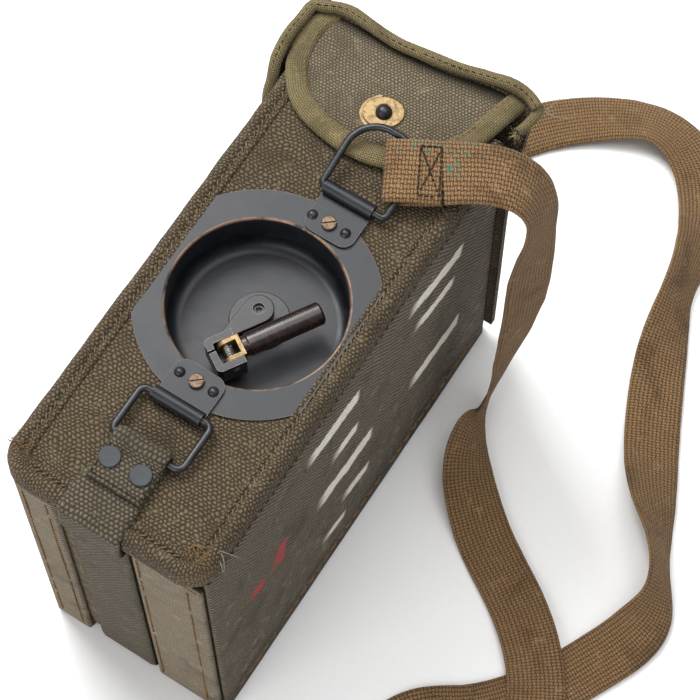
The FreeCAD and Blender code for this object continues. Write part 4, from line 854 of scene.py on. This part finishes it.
def make_sides():
    parts = []
    for side, label in ((1, "right"), (-1, "left")):
        low_x, high_x = (CORE, CORE + SKIN) if side > 0 else (-CORE - SKIN, -CORE)
        obj = slab("side_cover_" + label, (low_x, CORE_END, 0.0), (high_x, MOUTH_Y, DEPTH - PANEL_T), 1.15,
                   M_SIDE, "case", cell=5.0, puff=0.5, rough=0.4)
        parts.append(obj)
        x = side * (CORE + SKIN + 0.95)
        rows = [[(x, CORE_END + 7, 17.5), (x, MOUTH_Y - 5, 18.5)]]
        stitches("side_stitches_" + label, rows, (side, 0, 0), "case", M_THREAD, pitch=6.0, length=4.6,
                 radius=0.62, bow=0.7)
    for obj in parts:
        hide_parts("side_covers")


def make_pads():
    ends = []
    for label, x0, x1 in (("left", -CORE, CH_L), ("right", CH_R, CORE)):
        pad = slab("end_pad_" + label, (x0, END_Y - 0.2, 1.0), (x1, CORE_END + 0.2, DEPTH - PANEL_T - 9.0),
                   1.3, M_END, "case", cell=3.5, puff=0.5, rough=0.35)
        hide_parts("bottom_end_pads")
        ends.append(pad)
        under = slab("under_pad_" + label, (x0, CORE_END - 1.2, 0.0), (x1, MOUTH_Y, SKIN), 1.15, M_END,
                     "case", cell=5.0, puff=0.0, rough=0.0)
        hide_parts("underside_pads")
    y = END_Y - 0.55
    rows = [[(CH_L - 3.2, y, 8), (CH_L - 3.2, y, 160)], [(CH_R + 3.0, y, 8), (CH_R + 3.0, y, 160)],
            [(CORE - 6.0, y, 8), (CORE - 6.0, y, 160)], [(-CORE + 4.0, y, 8), (-CORE + 4.0, y, 160)]]
    stitches("end_stitches", rows, (0, -1, 0), "case", M_THREAD, pitch=4.0, length=2.7, radius=0.4)


def web_stations():
    """The carrying web's own route, repeated from the part's source, with finer turns."""
    half = 1.2
    on_face = DEPTH + half
    upper = on_face + 2.4 + 0.15
    bar_y, bar_z = -84.5, BAR_Z
    turn = 3.0
    out = []

    def add(y, z, x, width):
        out.append((Vector((x, y, z)), Vector((1, 0, 0)), width, 2.4))

    for k in range(6):
        add(-104.0 + 3.04 * k, upper, -1.5, 24.0)
    for angle in range(125, -91, -18):
        a = math.radians(angle)
        add(bar_y + turn * math.cos(a), bar_z + turn * math.sin(a), -1.5, 24.0)
    add(-92.0, on_face, -1.6, 24.2)
    add(-96.0, on_face, -2.0, 25.0)
    add(-100.0, on_face + 0.1, -2.4, 26.0)
    edge_y = EDGE_Y - half - 0.4
    for y in (-105.0, -110.0, -114.0):
        add(y, on_face + 0.35, -2.6, 27.5)
    for angle in (90, 72, 54, 36, 18, 0):
        a = math.radians(angle)
        add(edge_y + 2.7 - 2.7 * math.cos(a), on_face + 0.3 - 2.7 + 2.7 * math.sin(a), -2.6, 28.0)
    for z in (180.0, 176.0, 172.0):
        add(edge_y - 0.1, z, -2.6 - (183 - z) * 0.05, 28.0)
    end_y = CORE_END - half - 0.25
    for k in range(6):
        t = k / 5
        ease = t * t * (3 - 2 * t)
        add(edge_y + (end_y - edge_y) * ease, 169.5 - 11.5 * t, -3.2 - 1.8 * t, 28.0)
    for k in range(20):
        add(end_y, 152.0 - 7.4 * k, -5.0, 28.0)
    for angle in (0, 18, 36, 54, 72, 90):
        a = math.radians(angle)
        add(end_y + 5.5 - 5.5 * math.cos(a), half + 5.5 - 5.5 * math.sin(a), -5.0, 28.0)
    for k in range(1, 15):
        add(CORE_END + 4.05 + (MOUTH_Y - CORE_END - 4.05) * k / 14, half, -5.0, 28.0)
    return out


def make_web():
    web = strip("carrying_web", web_stations(), M_WEB, "case", across=14, rough=0.12, edge=0.9)
    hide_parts("support_web")
    box_rows = [[(-12.5, -87.5, 190.0), (9.5, -87.5, 190.0)], [(-12.5, -102.2, 190.0), (9.5, -102.2, 190.0)],
                [(-12.6, -88.0, 190.0), (-12.6, -102.0, 190.0)], [(9.6, -88.0, 190.0), (9.6, -102.0, 190.0)]]
    stitches("web_stitches", box_rows, (0, 0, 1), "case", M_DARK_THREAD, pitch=3.0, length=2.2, radius=0.3)
    return web


# The cover
RIM = [(-52.4, 84.0), (-53.0, 95.3), (-51.6, 105.5), (-47.7, 112.2), (-41.3, 115.2), (-28.4, 115.6),
       (-13.0, 114.2),
       (0.0, 115.6), (13.0, 117.4), (29.0, 121.3), (37.5, 122.6), (45.6, 121.0), (50.0, 117.8)]
TONGUE = [(-46.0, 116.0), (-48.6, 108.0), (-49.6, 99.0), (-48.6, 90.5), (-46.6, 83.5), (-43.0, 77.5),
          (-37.0, 70.5),
          (-28.0, 65.2), (-17.0, 62.2), (-5.0, 61.0), (4.0, 61.9), (12.5, 64.4), (21.0, 69.5), (30.0, 78.0),
          (37.0, 88.5), (40.8, 102.0), (44.5, 117.5)]


def rim_y(x):
    """Where the hood's upper edge lies across the width, a little way inside its bound rim."""
    points = [p for p in RIM if p[0] > -45]
    if x <= points[0][0]:
        return points[0][1] - 2.0 - 0.18 * (points[0][0] - x)
    for (x0, y0), (x1, y1) in zip(points, points[1:]):
        if x <= x1:
            return y0 + (y1 - y0) * (x - x0) / (x1 - x0) - 2.0
    return points[-1][1] - 2.0


def make_hood():
    """Back wall of the cover: plain below, bellied out at the top, with a layer's thickness."""
    turn_z = DEPTH * 0.6
    top_z = DEPTH + RIM_RISE
    nx, nz = 44, 46
    verts, faces, uvs = [], [], []

    def wall(x, z, inside):
        t = max(0.0, (z - turn_z) / (top_z - turn_z))
        base = MOUTH_Y + 0.3
        y = base + (rim_y(x) - base - 0.8) * t * t
        y += rumple((x, 0, z), 26.0, 0.9 * min(1.0, (z - HOOD_HINGE) / 40.0)) * (0.4 + t)
        y = max(y, base)
        if not inside:
            middle = 1.0 - (abs(x) / 50.0) ** 2
            y += 3.0 + 0.8 * middle * math.sin(math.pi * min(1.0, (z - HOOD_HINGE) / 150.0))
        return y

    for inside in (False, True):
        for i in range(nx + 1):
            x = HOOD_L + (HOOD_R - HOOD_L) * i / nx
            for j in range(nz + 1):
                z = HOOD_HINGE + (top_z - HOOD_HINGE) * j / nz
                verts.append((x, wall(x, z, inside), z))
                uvs.append((x, z))
    layer = (nx + 1) * (nz + 1)
    for side in (0, 1):
        for i in range(nx):
            for j in range(nz):
                a = side * layer + i * (nz + 1) + j
                q = [a, a + 1, a + nz + 2, a + nz + 1]
                faces.append(q if side == 0 else q[::-1])
    rim = [i * (nz + 1) for i in range(nx + 1)]
    rim += [nx * (nz + 1) + j for j in range(1, nz + 1)]
    rim += [i * (nz + 1) + nz for i in range(nx - 1, -1, -1)]
    rim += [j for j in range(nz - 1, 0, -1)]
    for a, b in zip(rim, rim[1:] + rim[:1]):
        faces.append([a, a + layer, b + layer, b])
    hood = build("hood_canvas", verts, faces, uvs, M_FACE, "cover")
    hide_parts("cover_hood")

    ear_top = DEPTH + RIM_RISE
    verts, faces, uvs = [], [], []
    rows = 40
    cols = 10
    for inside in (0, 1):
        for j in range(rows + 1):
            z = EAR_LOW + (ear_top - EAR_LOW) * j / rows
            front = ear_front(z)
            back = wall(HOOD_L + 1.0, z, True) + 0.6
            for i in range(cols + 1):
                y = front + (back - front) * i / cols
                flare = 1.6 * max(0.0, (z - 150.0) / 41.0) ** 2
                x = HOOD_L - flare * (0.4 + 0.6 * i / cols) + (2.2 if inside else 0.0)
                x += rumple((0, y, z), 18.0, 0.35)
                verts.append((x, y, z))
                uvs.append((y, z))
    layer = (rows + 1) * (cols + 1)
    for side in (0, 1):
        grid(faces, side * layer, rows, cols, flip=side)
    rim = list(range(cols + 1)) + [j * (cols + 1) + cols for j in range(1, rows + 1)]
    rim += [rows * (cols + 1) + i for i in range(cols - 1, -1, -1)]
    rim += [j * (cols + 1) for j in range(rows - 1, 0, -1)]
    for a, b in zip(rim, rim[1:] + rim[:1]):
        faces.append([a, b, b + layer, a + layer])
    ear = build("hood_ear", verts, faces, uvs, M_FACE, "cover")


def ear_front(z):
    """The ear's front edge: bowed back near the rim and rounded away at its lower end."""
    y = 72.8
    if z > 165.0:
        y += 11.5 * ((z - 165.0) / 26.5) ** 2.2
    if z < EAR_LOW + EAR_ROUND:
        t = (EAR_LOW + EAR_ROUND - z) / EAR_ROUND
        y += EAR_ROUND * (1 - math.sqrt(max(0.0, 1 - t * t)))
    return y


def make_hood_rim():
    """The rolled, tape-bound rim of the hood and of its ear's front edge."""
    path = [(HOOD_R + 0.6, rim_y(HOOD_R), 191.3)]
    for x, y in RIM[-2:2:-1]:
        path.append((x, y - 2.2, 191.6))
    path += [(-49.2, 109.5, 191.6), (-50.8, 103.5, 191.5), (-51.4, 95.0, 191.3), (-51.0, 87.5, 190.6),
             (-50.6, 81.6, 187.5)]
    for z in (182.0, 174.0, 164.0, 150.0, 132.0, 114.0, 100.0, 92.0, 84.0, 78.0):
        path.append((-49.6, ear_front(z) + 0.3, z))
    line = smooth_line(path, 1.6)
    radii = [2.55 + 0.22 * noise.noise(Vector((k * 0.11, 0.3, 1.7))) for k in range(len(line))]
    rim = tube("hood_rim_tape", line, radii, M_TAPE, "cover", sides=14, rough=0.25, seed=5.0)
    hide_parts("cover_binding")
    row = [p + Vector((0, -1.0, 2.25)) for p in line[: int(len(line) * 0.6)]]
    stitches("hood_rim_stitches", [row], (0, 0, 1), "cover", M_DARK_THREAD, pitch=2.9, length=1.9,
             radius=0.22)


def evenly(points, count):
    """A polyline's points at equal steps of its length."""
    lengths = [0.0]
    for a, b in zip(points, points[1:]):
        lengths.append(lengths[-1] + (b - a).length)
    out = []
    for k in range(count + 1):
        goal = lengths[-1] * k / count
        i = min(max(int(np.searchsorted(lengths, goal)) - 1, 0), len(points) - 2)
        out.append(points[i].lerp(points[i + 1], (goal - lengths[i]) / (lengths[i + 1] - lengths[i])))
    return out


def make_tongue():
    """The closing tongue with its oval end, a little crowned, and its stitched tape."""
    line = smooth_line([(x, y, 0.0) for x, y in TONGUE], 1.8)
    normals = []
    for i in range(len(line)):
        t = (line[min(i + 1, len(line) - 1)] - line[max(i - 1, 0)]).normalized()
        normals.append(Vector((-t.y, t.x, 0)))
    low = TONGUE_Z
    centre_x = -3.0
    inside = [p + n for p, n in zip(line, normals)]
    tip = min(range(len(inside)), key=lambda k: inside[k].y)
    rows, cols = 36, 40
    left = evenly(inside[:tip + 1], rows)
    right = evenly(inside[tip:][::-1], rows)

    def lift(x, y):
        crown = max(0.0, 1 - ((x - centre_x) / 46.0) ** 2) * 0.5
        return crown + rumple((x, y, 0), 16.0, 0.35) - 1.2 * max(0.0, (y - 100.0) / 16.0) ** 2

    verts, faces, uvs = [], [], []
    for a, b in zip(left, right):
        for j in range(cols + 1):
            q = a.lerp(b, j / cols)
            verts.append((q.x, q.y, low + TONGUE_T + lift(q.x, q.y)))
            uvs.append((q.x, q.y))
    grid(faces, 0, rows, cols)
    sheet = build("tongue_sheet", verts, faces, uvs, M_TONGUE, "cover")
    weld(sheet, 0.00001)
    thick = sheet.modifiers.new("thick", "SOLIDIFY")
    thick.thickness = TONGUE_T * MM
    thick.offset = -1.0
    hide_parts("closing_tongue")

    top = low + TONGUE_T
    profile = [(8.6, 0.1), (8.3, 0.75), (6.5, 1.15), (4.2, 1.25), (2.0, 1.1), (0.5, 0.65), (-0.4, -0.3),
               (-0.5, -1.4),
               (0.2, -2.2), (2.0, -2.3)]
    path = [Vector((p.x, p.y, top + lift(p.x, p.y))) for p in line]
    tape = sweep("tongue_tape", path, normals, profile, M_TAPE, "cover", rough=0.3, seed=9.0)
    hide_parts("tongue_binding")
    row = [path[k] + normals[k] * 7.2 + Vector((0, 0, 0.95)) for k in range(len(path))]
    stitches("tongue_stitches", [row], (0, 0, 1), "cover", M_THREAD, pitch=2.7, length=1.9, radius=0.26)


# The shoulder strap
DROP = [(44.3, 76.9, 196.0, 117, 6), (55.3, 82.3, 194.5, 115, 2), (65.4, 85.3, 188.5, 108, 0),
        (71.3, 85.0, 176.0, 95, 0),
        (72.4, 82.2, 158.0, 82, 0), (72.6, 80.0, 135.0, 73, 0), (73.1, 78.4, 105.0, 72, 0),
        (72.2, 75.7, 75.0, 78, 0),
        (70.5, 73.0, 50.0, 88, 0), (68.2, 68.6, 30.0, 98, -8), (66.6, 62.2, 16.0, 96, -38)]
FRONT = [(68.7, 50.2, 12.2, 60, -48), (74.8, 36.6, 9.2, 40, -30), (85.9, 24.1, 4.6, 44, -12),
         (98.9, 13.1, 1.5, 52, 0),
         (111.4, 4.7, 1.2, 55, 0), (124.4, -3.8, 1.6, 54, 0), (137.3, -14.4, 3.0, 46, 0),
         (148.2, -26.4, 3.6, 36, 0),
         (157.1, -40.5, 3.6, 24, 0), (163.6, -57.5, 2.4, 12, 0), (164.0, -76.6, 1.2, -12, 0),
         (155.0, -93.8, 1.2, -46, 0), (136.9, -102.9, 1.2, -82, 0), (118.0, -97.9, 1.2, -120, 0),
         (111.1, -82.9, 1.2, -175, 0), (119.1, -68.8, 1.2, -222, 0)]
BACK = [(133.1, -58.7, 1.2, -234, 0), (147.2, -44.5, 1.2, -223, 0), (159.3, -27.3, 1.3, -211, 0),
        (169.3, -8.2, 3.0, -207, 5), (177.3, 11.0, 7.2, -196, 25), (176.6, 29.1, 12.8, -172, 58),
        (167.2, 46.2, 13.2, -152, 62), (154.4, 64.4, 9.8, -145, 38), (141.7, 85.6, 4.2, -150, 12),
        (129.8, 109.8, 3.4, -156, 8), (119.2, 136.0, 8.0, -158, 30), (112.1, 161.2, 12.2, -166, 55),
        (106.8, 186.6, 9.8, -166, 40), (99.0, 208.9, 5.0, -150, 15), (84.1, 226.0, 4.2, -116, 12),
        (64.0, 232.4, 5.8, -90, 20), (42.6, 225.8, 4.2, -66, 12), (24.4, 213.7, 2.1, -52, 3),
        (9.2, 197.8, 1.6, -40, 0), (-0.5, 179.0, 1.4, -14, 0), (-2.0, 163.0, 2.4, 0, 0)]
STRAP_W, STRAP_T = 25.4, 1.8
LOOP_END = 22.6  # how far the sewn laps of an end loop reach from its ring


def strap_ends():
    """The upper fold with its directions, and the rear loop's place."""
    tilt = math.radians(13.5)
    a = math.radians(27.0)
    bar_y, bar_z = CUP[1] + 54.8, BAR_Z
    fold = Vector((14.35, 60.3, bar_z + (60.3 - bar_y) * math.tan(tilt)))
    normal = Vector((0, -math.sin(tilt), math.cos(tilt)))
    along = Vector((math.cos(a), math.sin(a), math.sin(a) * math.tan(tilt))).normalized()
    rear_y = MOUTH_Y + 2.6 + 1.2 + 2.9 - 0.6 + (22.0 - 1.5 - 0.35 - 1.8)
    rear = Vector((-2.0, rear_y, 3.65))
    return fold, along, normal.cross(along), normal, rear


def loop_path(fold, along, normal, eye, end):
    """The folded end's centre line: out along the upper lap's end, round the ring, and back below."""
    c = 1.8 + STRAP_T / 2
    points = []
    steps = 10

    def gap(u):
        """How far each lap lies from the fold's middle plane: the two close up from the eye to the end."""
        close = min(1.0, max(0.0, (u - eye) / max(0.1, end - eye)))
        return c + (STRAP_T / 2 + 0.05 - c) * close

    for k in range(steps + 1):
        u = end + (c - end) * (k / steps)
        points.append(fold + along * u + normal * gap(u))
    for k in range(1, 10):
        a = math.pi / 2 + math.pi * k / 10
        points.append(fold + along * (c + 0.9 + (c) * math.cos(a)) - along * 0.9 + normal * c * math.sin(a))
    for k in range(steps + 1):
        u = c + (end - c) * (k / steps)
        points.append(fold + along * u - normal * gap(u))
    return points


def make_strap():
    fold, along, across, normal, rear = strap_ends()
    begin = fold + along * 22.4 + normal * 0.95
    finish = rear + Vector((0, 22.8, 0))
    centres = [begin] + [Vector(p[:3]) for p in DROP + FRONT + BACK] + [finish]
    widths = [across]
    for _, _, _, heading, lean in DROP + FRONT + BACK:
        a, b = math.radians(heading), math.radians(lean)
        widths.append(Vector((math.cos(a) * math.cos(b), math.sin(a) * math.cos(b), math.sin(b))))
    widths.append(Vector((1, 0, 0)))
    t = [0.0]
    for a, b in zip(centres, centres[1:]):
        t.append(t[-1] + (b - a).length)
    count = 400
    at = [t[-1] * k / count for k in range(count + 1)]
    middle = natural_spline([tuple(c) for c in centres], t, at)
    edge = natural_spline([tuple(c + w * (STRAP_W / 2)) for c, w in zip(centres, widths)], t, at)
    full = []
    for m, e in zip(middle, edge):
        full.append((Vector(m), Vector(e) - Vector(m), STRAP_W, STRAP_T))
    cut_t = t[len(DROP) + 14]
    cut = int(round(cut_t / t[-1] * count))
    first = strip("strap_upper_run", full[:cut + 2], M_STRAP, None, across=12, curl=0.5, rough=0.35, edge=0.8)
    second = strip("strap_rear_run", full[cut - 1:], M_STRAP, None, across=12, curl=0.5, rough=0.35, edge=0.8)
    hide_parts("strap_drop_run", "strap_floor_run")
    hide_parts("strap_floor_run")
    ends = []
    for name, body, f, al, ac, no, eye, node in (
            ("strap_upper_end", "upper_ring", fold, along, across, normal, 13.0, "strap_end_loop"),
            ("strap_rear_end", "rear_ring", rear, Vector((0, 1, 0)), Vector((-1, 0, 0)), Vector((0, 0, 1)),
             9.0, "rear_strap_loop")):
        points = loop_path(f, al, no, eye, LOOP_END)
        stations = [(p, ac, STRAP_W, STRAP_T) for p in points]
        loop = strip(name, stations, M_STRAP, body, across=12, rough=0.1, edge=0.8)
        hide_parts(node)
        ends.append(loop)
    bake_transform(first)
    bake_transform(second)
    # The sewn box and cross that hold the upper end.
    rows = []
    flat = []
    for u0, s0, u1, s1 in ((13.5, -10, 13.5, 10), (21.8, -10, 21.8, 10), (13.5, -10, 21.8, -10),
                           (13.5, 10, 21.8, 10),
                           (13.5, -10, 21.8, 10), (13.5, 10, 21.8, -10)):
        def on(u, s):
            close = min(1.0, max(0.0, (u - 13.0) / 9.6))
            c = 2.7
            rise = c + (STRAP_T / 2 + 0.05 - c) * close + STRAP_T / 2
            return fold + along * u + across * s + normal * rise
        rows.append([on(u0, s0), on((u0 + u1) / 2, (s0 + s1) / 2), on(u1, s1)])
    stitches("strap_stitches", rows, normal, "upper_ring", M_DARK_THREAD, pitch=2.2, length=1.9, radius=0.36)


def make_fraying():
    """Torn fibres at the two near corners and at the hood's open end, with its loose white threads."""
    frayed("corner_fibres", [((38.5, -106.5, 186.2), (4.5, 3.0, 0.6), (0.6, -0.7, 0.2)),
                             ((-40.5, -105.0, 186.0), (4.0, 3.0, 0.6), (-0.6, -0.7, 0.2))],
           46, 5.5, 0.16, M_THREAD, "case", 21)
    frayed("corner_threads", [((42.0, -100.0, 185.0), (2.0, 3.0, 0.8), (0.6, -0.6, -0.2))],
           3, 13.0, 0.2, M_PALE_THREAD, "case", 22)
    end = [Vector((49.6, 118.4, 190.2)), Vector((49.9, 115.5, 189.2)), Vector((49.3, 112.0, 188.2)),
           Vector((48.3, 108.5, 187.4)), Vector((47.3, 105.6, 186.8))]
    bead = tube("binding_end", smooth_line(end, 1.0), 2.1, M_TAPE, "cover", sides=12, rough=0.5, seed=2.0)
    frayed("binding_fibres", [((47.2, 105.2, 186.8), (1.4, 0.8, 1.0), (-0.1, -0.9, 0.1))], 40, 4.0, 0.16,
           M_TAPE, "cover", 23)
    frayed("binding_threads", [((50.6, 117.0, 190.0), (0.8, 1.5, 0.6), (0.5, 0.2, 0.3))], 4, 12.0, 0.2,
           M_PALE_THREAD, "cover", 24)


make_panel_sheet()
make_border()
make_sides()
make_pads()
make_web()
make_hood()
make_hood_rim()
make_tongue()
make_fraying()
make_strap()


# Floor, lights and camera
def make_stage():
    mesh = bpy.data.meshes.new("floor")
    mesh.from_pydata([(-4, -4, -0.0002), (4, -4, -0.0002), (4, 4, -0.0002), (-4, 4, -0.0002)], [],
                     [(0, 1, 2, 3)])
    floor = bpy.data.objects.new("floor", mesh)
    bpy.context.scene.collection.objects.link(floor)
    s = Shader("floor_paper")
    place = s.mm("Object")
    grain = s.noise(place, 0.4, 3.0).outputs["Fac"]
    mesh.materials.append(s.set(color=s.mix(grain, (0.86, 0.86, 0.86), (0.90, 0.90, 0.90)), rough=0.85,
                                spec=0.2))


def area(name, place, target, size, power, colour=(1, 1, 1)):
    data = bpy.data.lights.new(name, "AREA")
    data.shape = "RECTANGLE"
    data.size, data.size_y = size
    data.energy = power
    data.color = colour
    obj = bpy.data.objects.new(name, data)
    obj.location = place
    obj.rotation_euler = (Vector(target) - Vector(place)).to_track_quat("-Z", "Y").to_euler()
    bpy.context.scene.collection.objects.link(obj)


def make_camera():
    azimuth, elevation, roll = math.radians(32.77), math.radians(66.99), math.radians(-0.22)
    back = Vector((math.sin(azimuth) * math.cos(elevation), -math.cos(azimuth) * math.cos(elevation),
                   math.sin(elevation)))
    right = (-back).cross(Vector((0, 0, 1))).normalized()
    up = right.cross(-back)
    turned_right = right * math.cos(roll) + up * math.sin(roll)
    turned_up = up * math.cos(roll) - right * math.sin(roll)
    target = Vector((41.27, -7.59, 185.0)) * MM
    data = bpy.data.cameras.new("camera")
    data.lens = 2572.26 * 36.0 / 700.0
    data.sensor_width = 36.0
    data.clip_start = 0.01
    obj = bpy.data.objects.new("camera", data)
    turn = Matrix((turned_right, turned_up, back)).transposed()
    obj.matrix_world = Matrix.Translation(target + back * 0.97828) @ turn.to_4x4()
    bpy.context.scene.collection.objects.link(obj)
    bpy.context.scene.camera = obj


make_stage()
make_camera()
area("key", (-0.9, 0.45, 1.5), (0, 0, 0.1), (0.8, 0.8), 32.0)
area("fill", (-0.15, -1.4, 0.75), (0, 0, 0.1), (1.2, 0.9), 13.0)
area("top", (0.2, 0.4, 1.9), (0, 0, 0.1), (1.4, 1.4), 20.0)
world = bpy.data.worlds.new("studio")
world.use_nodes = True
world.node_tree.nodes["Background"].inputs[0].default_value = (1, 1, 1, 1)
world.node_tree.nodes["Background"].inputs[1].default_value = 0.36
bpy.context.scene.world = world
bpy.context.scene.view_settings.view_transform = "Standard"
